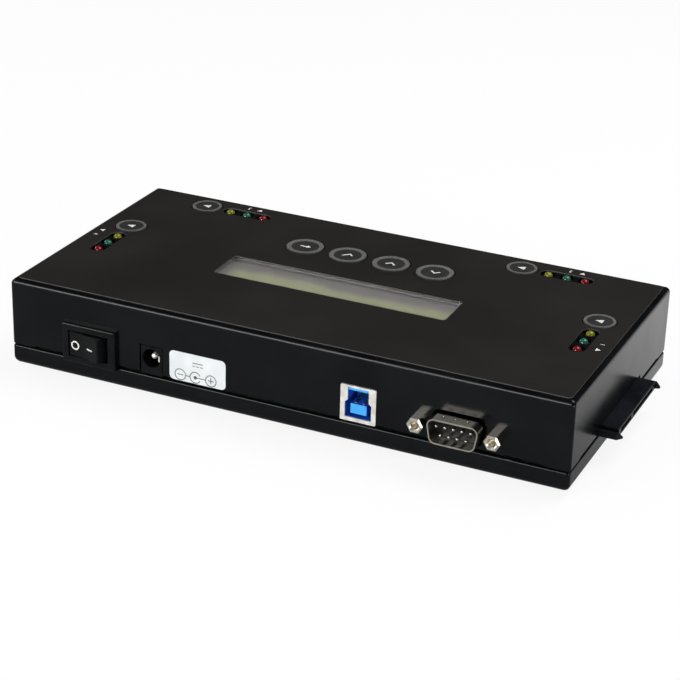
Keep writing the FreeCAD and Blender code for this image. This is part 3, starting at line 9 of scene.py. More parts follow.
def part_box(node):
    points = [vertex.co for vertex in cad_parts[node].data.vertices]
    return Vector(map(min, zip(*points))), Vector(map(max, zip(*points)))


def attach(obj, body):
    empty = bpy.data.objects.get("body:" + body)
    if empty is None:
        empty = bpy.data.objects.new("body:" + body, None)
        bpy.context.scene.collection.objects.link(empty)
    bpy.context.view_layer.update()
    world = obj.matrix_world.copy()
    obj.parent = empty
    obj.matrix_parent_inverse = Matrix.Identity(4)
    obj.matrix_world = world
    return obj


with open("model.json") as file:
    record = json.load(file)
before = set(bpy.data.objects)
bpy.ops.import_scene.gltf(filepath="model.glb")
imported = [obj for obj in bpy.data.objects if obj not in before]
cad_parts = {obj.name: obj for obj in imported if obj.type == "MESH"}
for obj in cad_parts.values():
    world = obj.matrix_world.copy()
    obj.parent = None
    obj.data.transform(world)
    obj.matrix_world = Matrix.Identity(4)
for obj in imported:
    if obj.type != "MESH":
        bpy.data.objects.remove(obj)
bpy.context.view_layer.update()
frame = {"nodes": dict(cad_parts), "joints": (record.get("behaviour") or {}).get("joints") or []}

nodes = frame["nodes"]
mm = 0.001
print("frame loaded,", len(nodes), "nodes")


def hexColour(text):  # sRGB hex to linear
    channels = [int(text[i:i + 2], 16) / 255 for i in (1, 3, 5)]
    return [c / 12.92 if c <= 0.04045 else ((c + 0.055) / 1.055) ** 2.4 for c in channels] + [1.0]


def addNode(tree, kind, sockets=None, **settings):
    node = tree.nodes.new(kind)
    for name, value in settings.items():
        setattr(node, name, value)
    for name, value in (sockets or {}).items():
        if isinstance(value, bpy.types.NodeSocket):
            tree.links.new(value, node.inputs[name])
        else:
            node.inputs[name].default_value = value
    return node


def newTree(name):
    finish = bpy.data.materials.new(name)
    finish.use_nodes = True
    finish.node_tree.nodes.clear()
    return finish, finish.node_tree


# How much of a normal lies along an axis, from none to all of a tone
edgeOn = (0.7, 0.3)  # faces that turn away from up
squareOn = (0.4, 0.8)  # faces that look out of the panel
# The stretch of a noise's values that runs from one end to the other
toneLow, toneHigh = 0.35, 0.65
roughLow, roughHigh = 0.3, 0.7


# Two tones in soft patches, roughness that follows them, and a fine grain as bump; sizes in mm
def surface(name, look):
    finish, tree = newTree(name)
    place = addNode(tree, "ShaderNodeTexCoord").outputs["Object"]
    if "stretch" in look:  # brushed or drawn metal: longer along one axis
        place = addNode(tree, "ShaderNodeMapping", {"Vector": place, "Scale": look["stretch"]}).outputs[0]
    patches = addNode(tree, "ShaderNodeTexNoise",
                      {"Vector": place, "Scale": 1 / (look["patch"] * mm), "Detail": 3.0})
    tone = addNode(tree, "ShaderNodeMapRange", {0: patches.outputs[0], 1: toneLow, 2: toneHigh})
    tones = {0: tone.outputs[0], 6: hexColour(look["dark"]), 7: hexColour(look["light"])}
    colour = addNode(tree, "ShaderNodeMix", tones, data_type="RGBA")
    normal = addNode(tree, "ShaderNodeNewGeometry").outputs["True Normal"]
    facing = addNode(tree, "ShaderNodeSeparateXYZ", {0: normal})
    overlays = []
    if "cutEdgeAndHighlight" in look:  # a sheet's cut rim is paler than its printed face, and this pale tone also holds a painted highlight along the rim
        overlays.append((facing.outputs["Z"], edgeOn, look["cutEdgeAndHighlight"]))
    if "paintedFrontLight" in look:  # painted light: a moulding's front faces are painted paler, as if lit, than the walls of its cavity
        overlays.append((facing.outputs["Y"], squareOn, look["paintedFrontLight"]))
    if "root" in look:  # painted shade: a drawn shell is painted dark where it leaves the panel, standing in for its dark reflection of the black panel
        start, end, paintedDark = look["root"]
        axes = addNode(tree, "ShaderNodeSeparateXYZ", {0: place})
        overlays.append((axes.outputs["Y"], (end * mm, start * mm), paintedDark))
    for value, (none, full), shade in overlays:
        share = addNode(tree, "ShaderNodeMapRange", {0: value, 1: none, 2: full})
        tones = {0: share.outputs[0], 6: colour.outputs[2], 7: hexColour(shade)}
        colour = addNode(tree, "ShaderNodeMix", tones, data_type="RGBA")
    low, high = look["rough"]
    rough = addNode(tree, "ShaderNodeMapRange",
                    {0: patches.outputs[0], 1: roughLow, 2: roughHigh, 3: low, 4: high})
    if "endRough" in look:  # ends cut across a piece are duller than its drawn sides
        none, full = squareOn
        rough = addNode(tree, "ShaderNodeMapRange", {
            0: facing.outputs["Y"], 1: none, 2: full, 3: rough.outputs[0], 4: look["endRough"]})
    grain = addNode(tree, "ShaderNodeTexNoise",
                    {"Vector": place, "Scale": 1 / (look["grain"] * mm), "Detail": 2.0})
    bump = addNode(tree, "ShaderNodeBump",
                   {"Height": grain.outputs[0], "Distance": look["bump"] * mm, "Strength": 1.0})
    shader = addNode(tree, "ShaderNodeBsdfPrincipled", {
        "Base Color": colour.outputs[2], "Roughness": rough.outputs[0], "Normal": bump.outputs[0]})
    for socket, value in look.get("shader", {}).items():
        shader.inputs[socket].default_value = value
    addNode(tree, "ShaderNodeOutputMaterial", {"Surface": shader.outputs[0]})
    return finish


# Semi-gloss black powder coat on folded steel: faint orange peel, soft reflections of the floor
powderCoat = surface("semi_gloss_powder_coat", {
    "dark": "#06070a", "light": "#0a0c0f", "patch": 14, "grain": 0.5, "bump": 0.004, "rough": (0.18, 0.25),
    "shader": {"IOR": 1.5, "Specular IOR Level": 0.28}})
# Velvet polycarbonate film printed black behind: a dead flat brownish black with a clear cut edge, whose
# pale tone includes a painted highlight
faceFilm = surface("velvet_polycarbonate_film", {
    "dark": "#191715", "light": "#1f1c1a", "patch": 45, "grain": 0.35, "bump": 0.004, "rough": (0.42, 0.50),
    "cutEdgeAndHighlight": "#5c5b57", "shader": {"IOR": 1.58, "Specular IOR Level": 0.3}})
# Moulded ABS key, spark-eroded mould: matte charcoal
keyAbs = surface("matte_moulded_abs", {
    "dark": "#272727", "light": "#2e2d2d", "patch": 3, "grain": 0.25, "bump": 0.006, "rough": (0.42, 0.52),
    "shader": {"IOR": 1.53, "Specular IOR Level": 0.35}})
# Grey pad-printed ink laid in a coarse dot screen, so it looks a little speckled
greyInk = surface("screened_grey_ink", {
    "dark": "#545453", "light": "#6f6e6c", "patch": 0.45, "grain": 0.45, "bump": 0.006, "rough": (0.38, 0.5),
    "shader": {"IOR": 1.5, "Specular IOR Level": 0.4}})
# White screen ink: thick, chalky, slightly uneven
whiteInk = surface("white_screen_ink", {
    "dark": "#d9d6d0", "light": "#efedea", "patch": 0.6, "grain": 0.2, "bump": 0.004, "rough": (0.5, 0.6),
    "shader": {"IOR": 1.5}})
# Thin grey-black ink on the label
labelInk = surface("thin_label_ink", {
    "dark": "#4b4e52", "light": "#63666a", "patch": 0.5, "grain": 0.2, "bump": 0.002, "rough": (0.5, 0.6),
    "shader": {"IOR": 1.5}})
# Semi-gloss white vinyl label with the faint wave of its adhesive
labelVinyl = surface("white_vinyl_label", {
    "dark": "#e2e7e9", "light": "#edf1f2", "patch": 6, "grain": 3, "bump": 0.02, "rough": (0.28, 0.38),
    "shader": {"IOR": 1.5}})
# Polished black nylon of the rocker and the power inlet: smooth, clear highlights along its edges
glossNylon = surface("polished_black_nylon", {
    "dark": "#0a0b0d", "light": "#0f1012", "patch": 8, "grain": 1.2, "bump": 0.004, "rough": (0.20, 0.30),
    "shader": {"IOR": 1.53, "Specular IOR Level": 0.2}})
# Glass-filled black plastic of the sockets: dull, fine flow grain, slightly blue
socketPlastic = surface("glass_filled_black_plastic", {
    "dark": "#0a0c11", "light": "#101319", "patch": 5, "grain": 0.3, "bump": 0.008, "rough": (0.34, 0.46),
    "shader": {"IOR": 1.55, "Specular IOR Level": 0.25}})
# Blue plastic of the USB insert: waxy and deep blue, with painted light making its front faces pale against
# its cavity
bluePlastic = surface("blue_moulded_plastic", {
    "dark": "#0f46b4", "light": "#1a5fd0", "patch": 4, "grain": 0.4, "bump": 0.005, "rough": (0.26, 0.36),
    "paintedFrontLight": "#3fadfc",
    "shader": {"IOR": 1.53, "Subsurface Weight": 0.1, "Subsurface Radius": (0.0004, 0.0006, 0.001)}})
# Dull nickel on a stamped shell: milky white, with drawing lines along its length
nickelPlate = surface("nickel_plated_steel", {
    "dark": "#e9e6df", "light": "#f6f4ef", "patch": 2.5, "grain": 0.3, "bump": 0.003, "rough": (0.5, 0.6),
    "stretch": (1.0, 0.15, 1.0), "shader": {"Metallic": 1.0}})
# Plated hexagonal jack posts: sides drawn bright, so they mirror the black panel, and creamy turned ends
postNickel = surface("nickel_plated_hex_brass", {
    "dark": "#e4dfd1", "light": "#f2eee2", "patch": 1.5, "grain": 0.25, "bump": 0.001, "rough": (0.1, 0.16),
    "endRough": 0.4, "shader": {"Metallic": 1.0}})
# Bright tin plate of the drawn serial shell: mirrors the black panel, creamy front edge, and a root painted
# dark as a painted reflection of the black panel
shellTin = surface("bright_tin_plate", {
    "dark": "#cdc7ba", "light": "#e6e0d4", "patch": 3.5, "grain": 0.5, "bump": 0.002, "rough": (0.1, 0.18),
    "endRough": 0.28, "root": (50.0, 51.0, "#2a2824"), "shader": {"Metallic": 1.0}})
# Tin plate of pins and blades: creamy, softly smudged
tinPlate = surface("dipped_tin_plate", {
    "dark": "#cdc7ba", "light": "#e6e0d4", "patch": 3.5, "grain": 0.5, "bump": 0.004, "rough": (0.16, 0.28),
    "shader": {"Metallic": 1.0}})
# Flash gold on contacts
goldPlate = surface("flash_gold_plate", {
    "dark": "#c89a48", "light": "#e2b766", "patch": 1.5, "grain": 0.3, "bump": 0.002, "rough": (0.18, 0.3),
    "shader": {"Metallic": 1.0}})
# Zinc-plated screws and standoffs: grey-blue, fine turned grain
zincPlate = surface("zinc_plated_steel", {
    "dark": "#a7abae", "light": "#c3c7c9", "patch": 2, "grain": 0.25, "bump": 0.004, "rough": (0.26, 0.4),
    "shader": {"Metallic": 1.0}})
# Solder mask over glass fibre: glossy green-black with the weave showing faintly
solderMask = surface("green_black_solder_mask", {
    "dark": "#07140c", "light": "#0b2013", "patch": 2.2, "grain": 0.8, "bump": 0.008, "rough": (0.22, 0.36),
    "shader": {"IOR": 1.5}})
# Chip epoxy: dull black, fine silica grain
chipEpoxy = surface("silica_filled_epoxy", {
    "dark": "#161718", "light": "#1f2021", "patch": 1.2, "grain": 0.12, "bump": 0.006, "rough": (0.5, 0.65),
    "shader": {"IOR": 1.55}})
# Aluminium cans in thin satin sleeve
canAluminium = surface("satin_can_aluminium", {
    "dark": "#a9abad", "light": "#c6c8ca", "patch": 2, "grain": 0.3, "bump": 0.003, "rough": (0.3, 0.42),
    "shader": {"Metallic": 1.0}})
# Pressed ferrite: dark grey, powdery
ferrite = surface("pressed_ferrite", {
    "dark": "#2b2c2d", "light": "#3b3c3d", "patch": 0.8, "grain": 0.15, "bump": 0.01, "rough": (0.6, 0.75),
    "shader": {"IOR": 1.5}})
# PVC wire jacket: smooth, slightly waxy red
leadPvc = surface("pvc_wire_jacket", {
    "dark": "#8e1c18", "light": "#a62722", "patch": 4, "grain": 0.5, "bump": 0.004, "rough": (0.35, 0.45),
    "shader": {"IOR": 1.53}})
# Soft black rubber feet: matte, dusty
footRubber = surface("matte_black_rubber", {
    "dark": "#121212", "light": "#1d1d1c", "patch": 2, "grain": 0.25, "bump": 0.012, "rough": (0.7, 0.85),
    "shader": {"IOR": 1.52}})
# Opal backlight plastic, tinted yellow-green
lightGuide = surface("opal_light_guide", {
    "dark": "#c9d29a", "light": "#d9e0b2", "patch": 6, "grain": 0.8, "bump": 0.004, "rough": (0.4, 0.5),
    "shader": {"IOR": 1.49, "Subsurface Weight": 0.2, "Subsurface Radius": (0.002, 0.002, 0.001)}})
# Grey lacquer on the display's steel frame, painted pale as painted light that lifts it out of the cover's
# shade, so that it runs together with the polariser
displayFrame = surface("display_frame_painted_light", {
    "dark": "#bcb7b5", "light": "#cac5c3", "patch": 3, "grain": 0.3, "bump": 0.004, "rough": (0.35, 0.45),
    "shader": {"IOR": 1.5}})


# Tinted epoxy lamp: clear resin with a deep body colour and a polished dome
def lampEpoxy(name, deep, pale):
    finish, tree = newTree(name)
    swirlSize = 0.9
    place = addNode(tree, "ShaderNodeTexCoord").outputs["Object"]
    swirl = addNode(tree, "ShaderNodeTexNoise",
                    {"Vector": place, "Scale": 1 / (swirlSize * mm), "Detail": 2.0})
    tones = {0: swirl.outputs[0], 6: hexColour(deep), 7: hexColour(pale)}
    colour = addNode(tree, "ShaderNodeMix", tones, data_type="RGBA")
    shader = addNode(tree, "ShaderNodeBsdfPrincipled", {
        "Base Color": colour.outputs[2], "Roughness": 0.06, "IOR": 1.55, "Transmission Weight": 0.35})
    addNode(tree, "ShaderNodeOutputMaterial", {"Surface": shader.outputs[0]})
    return finish


lampYellow = lampEpoxy("yellow_lamp_epoxy", "#6f7010", "#a5a52c")
lampGreen = lampEpoxy("green_lamp_epoxy", "#1a5442", "#3c866c")
lampRed = lampEpoxy("red_lamp_epoxy", "#6c0f14", "#a01f25")

# Clear acrylic pane under a thin protective film, whose creases run slantwise across it
pane = {"crease": 16, "creaseBump": 0.05, "creaseSlant": 24, "ripple": 3, "rippleBump": 0.012}
clearPane, tree = newTree("creased_clear_acrylic")
place = addNode(tree, "ShaderNodeTexCoord").outputs["Object"]
slant = addNode(tree, "ShaderNodeMapping", {
    "Vector": place, "Rotation": (0, 0, math.radians(pane["creaseSlant"])), "Scale": (0.25, 1.0, 1.0)})
creases = addNode(tree, "ShaderNodeTexNoise", {
    "Vector": slant.outputs[0], "Scale": 1 / (pane["crease"] * mm), "Detail": 4.0, "Distortion": 0.6})
ripples = addNode(tree, "ShaderNodeTexNoise",
                  {"Vector": place, "Scale": 1 / (pane["ripple"] * mm), "Detail": 2.0})
creaseBump = addNode(tree, "ShaderNodeBump",
                     {"Height": creases.outputs[0], "Distance": pane["creaseBump"] * mm, "Strength": 1.0})
rippleBump = addNode(tree, "ShaderNodeBump", {
    "Height": ripples.outputs[0], "Distance": pane["rippleBump"] * mm, "Strength": 1.0,
    "Normal": creaseBump.outputs[0]})
shader = addNode(tree, "ShaderNodeBsdfPrincipled", {
    "Base Color": hexColour("#f8f8f5"), "Roughness": 0.08, "IOR": 1.49, "Transmission Weight": 1.0,
    "Alpha": 0.3, "Normal": rippleBump.outputs[0]})
addNode(tree, "ShaderNodeOutputMaterial", {"Surface": shader.outputs[0]})

# Unlit STN display, with painted light and shade: its rear half is painted lit yellow-green, the rest the
# polariser's grey-violet as painted shadow of the window's edges, along a soft wavering border
display = {"green": "#b4b697", "grey": "#8f8a8c", "edgeLow": 2.5, "edgeHigh": 6.5,
           "endLow": 35.0, "endHigh": 41.0, "waver": 12, "waverReach": 4.0}
displayGlass, tree = newTree("stn_display_painted_light_and_shade")
place = addNode(tree, "ShaderNodeTexCoord").outputs["Object"]
axes = addNode(tree, "ShaderNodeSeparateXYZ", {0: place})
waver = addNode(tree, "ShaderNodeTexNoise",
                {"Vector": place, "Scale": 1 / (display["waver"] * mm), "Detail": 2.0})
waverReach = display["waverReach"] * mm
shift = addNode(tree, "ShaderNodeMapRange",
                {0: waver.outputs[0], 1: 0.0, 2: 1.0, 3: -waverReach, 4: waverReach})
depth = addNode(tree, "ShaderNodeMath", {0: axes.outputs["Y"], 1: shift.outputs[0]}, operation="ADD")
# painted light: the lit yellow-green grows towards the rear of the display
paintedLitShare = addNode(tree, "ShaderNodeMapRange",
               {0: depth.outputs[0], 1: display["edgeLow"] * mm, 2: display["edgeHigh"] * mm},
               interpolation_type="SMOOTHSTEP")
# painted shadow: towards positive X the display turns back to shaded grey
paintedEndShadow = addNode(tree, "ShaderNodeMapRange", {
    0: axes.outputs["X"], 1: display["endLow"] * mm, 2: display["endHigh"] * mm, 3: 1.0, 4: 0.0},
                  interpolation_type="SMOOTHSTEP")
share = addNode(tree, "ShaderNodeMath", {0: paintedLitShare.outputs[0], 1: paintedEndShadow.outputs[0]}, operation="MULTIPLY")
tones = {0: share.outputs[0], 6: hexColour(display["grey"]), 7: hexColour(display["green"])}
colour = addNode(tree, "ShaderNodeMix", tones, data_type="RGBA")
shader = addNode(tree, "ShaderNodeBsdfPrincipled",
                 {"Base Color": colour.outputs[2], "Roughness": 0.3, "IOR": 1.5})
addNode(tree, "ShaderNodeOutputMaterial", {"Surface": shader.outputs[0]})

finishes = [
    (powderCoat, ["top_cover", "bottom_tray"]),
    (faceFilm, ["face_overlay"]),
    (clearPane, ["display_window"]),
    (displayGlass, ["lcd_glass"]),
    (displayFrame, ["lcd_bezel"]),
    (lightGuide, ["lcd_backlight"]),
    (keyAbs, ["menu_key_back", "menu_key_ok", "menu_key_down", "menu_key_up",
              "start_key_1", "start_key_2", "start_key_3", "start_key_4"]),
    (lampYellow, ["leds_yellow"]),
    (lampGreen, ["leds_green"]),
    (lampRed, ["leds_red"]),
    (glossNylon, ["rocker_housing", "rocker_paddle", "jack_body"]),
    (socketPlastic, ["sata_socket_1", "sata_socket_2", "sata_socket_3", "sata_socket_4", "serial_insulator",
                     "key_switches", "board_headers"]),
    (bluePlastic, ["usb_insert"]),
    (nickelPlate, ["usb_shell", "jack_contacts"]),
    (postNickel, ["serial_posts"]),
    (shellTin, ["serial_shell"]),
    (tinPlate, ["serial_pins", "switch_terminals"]),
    (goldPlate, ["usb_contacts", "sata_contacts"]),
    (zincPlate, ["board_standoffs", "panel_standoffs", "case_pillars", "board_screws", "case_screws",
                 "lcd_screws", "lcd_nuts", "lcd_spacers"]),
    (solderMask, ["main_board", "control_board", "lcd_board"]),
    (chipEpoxy, ["controller_chip", "support_chips"]),
    (canAluminium, ["capacitors"]),
    (ferrite, ["inductors"]),
    (leadPvc, ["switch_leads"]),
    (labelVinyl, ["rating_label"]),
    (footRubber, ["rubber_feet"]),
]
for finish, names in finishes:
    for name in names:
        nodes[name].material_slots[0].material = finish
print("finishes:", len(finishes))


def addPiece(name, mesh, finish, body):
    bmesh.ops.recalc_face_normals(mesh, faces=mesh.faces)
    data = bpy.data.meshes.new(name)
    mesh.to_mesh(data)
    mesh.free()
    piece = bpy.data.objects.new(name, data)
    bpy.context.scene.collection.objects.link(piece)
    data.materials.append(finish)
    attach(piece, body)
    return piece


def addLoft(mesh, sections, closed):  # joins loops of points with quads; an open run gets end caps
    loops = [[mesh.verts.new(place) for place in section] for section in sections]
    for i in range(len(loops) if closed else len(loops) - 1):
        here, there = loops[i], loops[(i + 1) % len(loops)]
        for k in range(len(here)):
            m = (k + 1) % len(here)
            mesh.faces.new((here[k], here[m], there[m], there[k]))
    if not closed:
        mesh.faces.new(loops[0])
        mesh.faces.new(loops[-1])


def addPrism(mesh, outline, matrix, low, high):  # a flat shape in its own XY, standing from low to high
    addLoft(mesh, [[matrix @ Vector((x, y, z)) for x, y in outline] for z in (low, high)], False)


def addRing(mesh, profile, matrix, steps=72):  # a closed profile of radius and height, turned about local Z
    turns = [2 * math.pi * i / steps for i in range(steps)]
    addLoft(mesh, [[matrix @ Vector((r * math.cos(a), r * math.sin(a), z)) for r, z in profile]
                   for a in turns], True)


def scaled(outline, size):
    return [(x * size * mm, y * size * mm) for x, y in outline]


def bar(x, y, length, height):
    return [(x + sx * length / 2, y + sy * height / 2) for sx, sy in ((-1, -1), (1, -1), (1, 1), (-1, 1))]


# Rings and signs printed on the keys; signs read from the user's side, in a square one unit across
keyCap = {"lip": 1.1, "bevel": 0.25, "rim": 1.8, "dish": 0.12, "ink": 0.02, "sink": 0.01,
          "menuBand": 1.75, "startBand": 1.15, "signSize": 3.6}
signs = {
    "back": [(-0.55, 0.0), (-0.18, 0.3), (-0.18, 0.08), (0.5, 0.08),
             (0.5, -0.08), (-0.18, -0.08), (-0.18, -0.3)],
    "ok": [(-0.5, 0.0), (-0.4, 0.1), (-0.14, -0.16), (0.4, 0.38), (0.5, 0.28), (-0.14, -0.36)],
    "down": [(0.0, -0.3), (0.5, 0.18), (0.4, 0.29), (0.0, -0.09), (-0.4, 0.29), (-0.5, 0.18)],
    "up": [(0.0, 0.3), (-0.5, -0.18), (-0.4, -0.29), (0.0, 0.09), (0.4, -0.29), (0.5, -0.18)],
    "start": [(-0.3, -0.36), (0.42, 0.0), (-0.3, 0.36)],
}
keySigns = {"menu_key_back": "back", "menu_key_ok": "ok", "menu_key_down": "down", "menu_key_up": "up",
            "start_key_1": "start", "start_key_2": "start", "start_key_3": "start", "start_key_4": "start"}
for key, sign in keySigns.items():
    low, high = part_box(key)
    middle = (low + high) / 2
    radius = (high.x - low.x) / 2 - keyCap["lip"] * mm
    dishLevel = high.z - keyCap["dish"] * mm
    rimIn, rimOut = radius - keyCap["rim"] * mm, radius - 2 * keyCap["bevel"] * mm

    def capLevel(r):  # the cap's own height at a radius
        share = min(max((r - rimIn) / (rimOut - rimIn), 0), 1)
        return dishLevel + share * (high.z - dishLevel)

    band = keyCap["menuBand" if key.startswith("menu") else "startBand"] * mm
    radii = [radius - band, rimOut, radius - keyCap["bevel"] * mm]
    upper = [(r, capLevel(r) + keyCap["ink"] * mm) for r in radii]
    lower = [(r, capLevel(r) - keyCap["sink"] * mm) for r in reversed(radii)]
    mesh = bmesh.new()
    addRing(mesh, upper + lower, Matrix.Translation((middle.x, middle.y, 0)))
    addPiece(key + "_ring", mesh, greyInk, key)
    mesh = bmesh.new()
    addPrism(mesh, scaled(signs[sign], keyCap["signSize"]), Matrix.Translation((middle.x, middle.y, 0)),
             dishLevel - keyCap["sink"] * mm, dishLevel + keyCap["ink"] * mm)
    addPiece(key + "_sign", mesh, whiteInk, key)
print("key prints:", len(keySigns))

# A pointer towards each drive socket and its port number, beside the lamps; places in mm
portMarks = {"size": 1.6, "numeral": 2.4, "ink": 0.02, "sink": 0.01,
             "places": {"1": ((-91.9, 11.95), (-92.0, 7.6), -90), "2": ((-68.2, -43.65), (-63.9, -43.65), 0),
                        "3": ((52.7, -43.75), (57.0, -43.75), 0), "4": ((92.7, -1.05), (92.8, 3.2), 90)}}
pointer = [(0.0, -0.5), (0.62, 0.5), (-0.62, 0.5)]
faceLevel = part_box("face_overlay")[1].z
for number, (pointerPlace, numeralPlace, turn) in portMarks["places"].items():
    spin = Matrix.Rotation(math.radians(turn), 4, "Z")
    spot = Matrix.Translation((pointerPlace[0] * mm, pointerPlace[1] * mm, 0)) @ spin
    mesh = bmesh.new()
    addPrism(mesh, scaled(pointer, portMarks["size"]), spot,
             faceLevel - portMarks["sink"] * mm, faceLevel + portMarks["ink"] * mm)
    addPiece("port_pointer_" + number, mesh, whiteInk, "case")
    text = bpy.data.curves.new("port_numeral_" + number, "FONT")
    text.body = number
    text.size = portMarks["numeral"] * mm
    text.align_x, text.align_y = "CENTER", "CENTER"
    text.extrude = portMarks["ink"] * mm
    text.materials.append(whiteInk)
    numeral = bpy.data.objects.new("port_numeral_" + number, text)
    numeral.matrix_world = Matrix.Translation((numeralPlace[0] * mm, numeralPlace[1] * mm, faceLevel)) @ spin
    bpy.context.scene.collection.objects.link(numeral)
    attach(numeral, "case")
print("port marks:", len(portMarks["places"]))

# O and bar on the rocker: drawn flat in mm, laid on its hollow face about the pivot and tipped with it
rockerMarks = {"valley": 4.0, "crest": 4.93, "half": 6.2, "hollow": 18.0, "tilt": -13, "level": -0.4,
               "ringAt": 3.75, "ringRadius": 1.58, "ringStroke": 0.52, "barFrom": -3.65, "barTo": -1.15,
               "barHeight": 0.5, "ink": 0.03, "sink": 0.02}
tip = next(joint for joint in frame["joints"] if joint["name"] == "rocker_tip")
pivot = Vector(tip["pos_m"])
tipped = Matrix.Translation(pivot) @ Matrix.Rotation(math.radians(rockerMarks["tilt"]), 4, "Z")
slope = math.atan2(rockerMarks["crest"] - rockerMarks["valley"], rockerMarks["half"])


def onPaddle(flat):  # two slopes joined by an arc; flat x runs along the face, y up, z out of it
    hollow = rockerMarks["hollow"]
    lean = max(-slope, min(slope, math.asin(max(-1, min(1, flat.x / hollow)))))
    bendX = hollow * math.sin(lean)
    bendY = rockerMarks["valley"] + hollow / math.cos(slope) - hollow * math.cos(lean)
    x = flat.x - flat.z * math.sin(lean)
    y = bendY + (flat.x - bendX) * math.tan(lean) + flat.z * math.cos(lean)
    return tipped @ Vector((x * mm, y * mm, (flat.y + rockerMarks["level"]) * mm))


bottom, top = -rockerMarks["sink"], rockerMarks["ink"]
outer, inner = rockerMarks["ringRadius"], rockerMarks["ringRadius"] - rockerMarks["ringStroke"]
ringMark, barMark = bmesh.new(), bmesh.new()
addRing(ringMark, [(inner, bottom), (outer, bottom), (outer, top), (inner, top)],
        Matrix.Translation((rockerMarks["ringAt"], 0, 0)), steps=48)
barSteps = 9
barRun = [rockerMarks["barFrom"] + (rockerMarks["barTo"] - rockerMarks["barFrom"]) * i / barSteps
          for i in range(barSteps + 1)]
half = rockerMarks["barHeight"] / 2
barCorners = [(-half, bottom), (half, bottom), (half, top), (-half, top)]
addLoft(barMark, [[Vector((x, y, z)) for y, z in barCorners] for x in barRun], False)
for name, mesh in (("rocker_ring_mark", ringMark), ("rocker_bar_mark", barMark)):
    for corner in mesh.verts:
        corner.co = onPaddle(corner.co)
    addPiece(name, mesh, whiteInk, "rocker")
print("rocker marks: 2")

# Direct-current and polarity signs on the label, in mm from its middle, x as read from behind the case
labelSigns = {"stroke": 0.3, "ink": 0.015, "sink": 0.01, "row": -2.9, "minusAt": -6.2, "centreAt": -0.75,
              "plusAt": 4.85, "ringRadius": 2.05, "arcGap": 50, "dotRadius": 0.62, "barLength": 2.1,
              "currentAt": 0.1, "currentRow": 2.1, "currentLength": 3.8, "currentGap": 1.05}
low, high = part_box("rating_label")
middle = (low + high) / 2
labelPlane = Matrix(((-1, 0, 0, middle.x), (0, 0, 1, high.y), (0, 1, 0, middle.z), (0, 0, 0, 1)))
stroke, row, ringRadius = labelSigns["stroke"], labelSigns["row"], labelSigns["ringRadius"]


def arcBand(x, firstTurn, lastTurn, steps=48):  # part of a ring about a point of the sign row
    turns = [math.radians(firstTurn + (lastTurn - firstTurn) * i / steps) for i in range(steps + 1)]
    outside = [(x + ringRadius * math.cos(a), row + ringRadius * math.sin(a)) for a in turns]
    inRadius = ringRadius - stroke
    return outside + [(x + inRadius * math.cos(a), row + inRadius * math.sin(a)) for a in reversed(turns)]


def link(fromX, toX):
    return bar((fromX + toX) / 2, row, toX - fromX, stroke)


minusAt, centreAt, plusAt = labelSigns["minusAt"], labelSigns["centreAt"], labelSigns["plusAt"]
current, dash = labelSigns["currentLength"], labelSigns["currentLength"] / 4
currentAt, lowLine = labelSigns["currentAt"], labelSigns["currentRow"] - labelSigns["currentGap"]
outlines = [bar(currentAt, labelSigns["currentRow"], current, stroke)]
outlines += [bar(currentAt + side * (current - dash) / 2, lowLine, dash, stroke) for side in (-1, 0, 1)]
outlines += [arcBand(x, first, first + 180) for x in (minusAt, plusAt) for first in (0, 180)]
outlines += [arcBand(centreAt, labelSigns["arcGap"] / 2, 360 - labelSigns["arcGap"] / 2)]
outlines += [link(minusAt + ringRadius, centreAt - ringRadius), link(centreAt, plusAt - ringRadius)]
outlines += [bar(x, row, labelSigns["barLength"], stroke) for x in (minusAt, plusAt)]
outlines += [bar(plusAt, row, stroke, labelSigns["barLength"])]
dotSteps, dotRadius = 24, labelSigns["dotRadius"]
dotTurns = [2 * math.pi * i / dotSteps for i in range(dotSteps)]
outlines += [[(centreAt + dotRadius * math.cos(a), row + dotRadius * math.sin(a)) for a in dotTurns]]
mesh = bmesh.new()
for outline in outlines:
    addPrism(mesh, scaled(outline, 1.0), labelPlane, -labelSigns["sink"] * mm, labelSigns["ink"] * mm)
addPiece("label_signs", mesh, labelInk, "case")
print("label signs:", len(outlines))

# Studio: white floor that runs out of view, shaded towards the viewer in gloss, and a dark room above it
studio = {"floorReach": 4.0, "cameraLift": 0.88, "glossLift": 0.9, "shadeFrom": -0.09, "shadeTo": 0.04,
          "farTone": 1.05, "nearTone": 0.26, "horizonTone": 0.25, "roomTone": 0.02, "roomFrom": 0.25,
          "fill": 0.4}
mesh = bmesh.new()
reach = studio["floorReach"]
mesh.faces.new([mesh.verts.new((x * reach, y * reach, 0)) for x, y in ((-1, -1), (1, -1), (1, 1), (-1, 1))])
data = bpy.data.meshes.new("studio_floor")
mesh.to_mesh(data)
mesh.free()
floor = bpy.data.objects.new("studio_floor", data)
bpy.context.scene.collection.objects.link(floor)
paper, tree = newTree("white_backdrop_paper")  # lifted towards white for the camera, graded for reflections
rays = addNode(tree, "ShaderNodeLightPath")
axes = addNode(tree, "ShaderNodeSeparateXYZ", {0: addNode(tree, "ShaderNodeTexCoord").outputs["Object"]})
graded = addNode(tree, "ShaderNodeMapRange", {
    0: axes.outputs["Y"], 1: studio["shadeFrom"], 2: studio["shadeTo"],
    3: studio["farTone"], 4: studio["nearTone"]})
tone = addNode(tree, "ShaderNodeMix", {0: rays.outputs["Is Glossy Ray"], 2: 1.0, 3: graded.outputs[0]})
direct = addNode(tree, "ShaderNodeMath",
                 {0: rays.outputs["Is Camera Ray"], 1: rays.outputs["Is Transmission Ray"]},
                 operation="MAXIMUM")
direct = addNode(tree, "ShaderNodeMath", {0: direct.outputs[0], 1: studio["cameraLift"]},
                 operation="MULTIPLY")
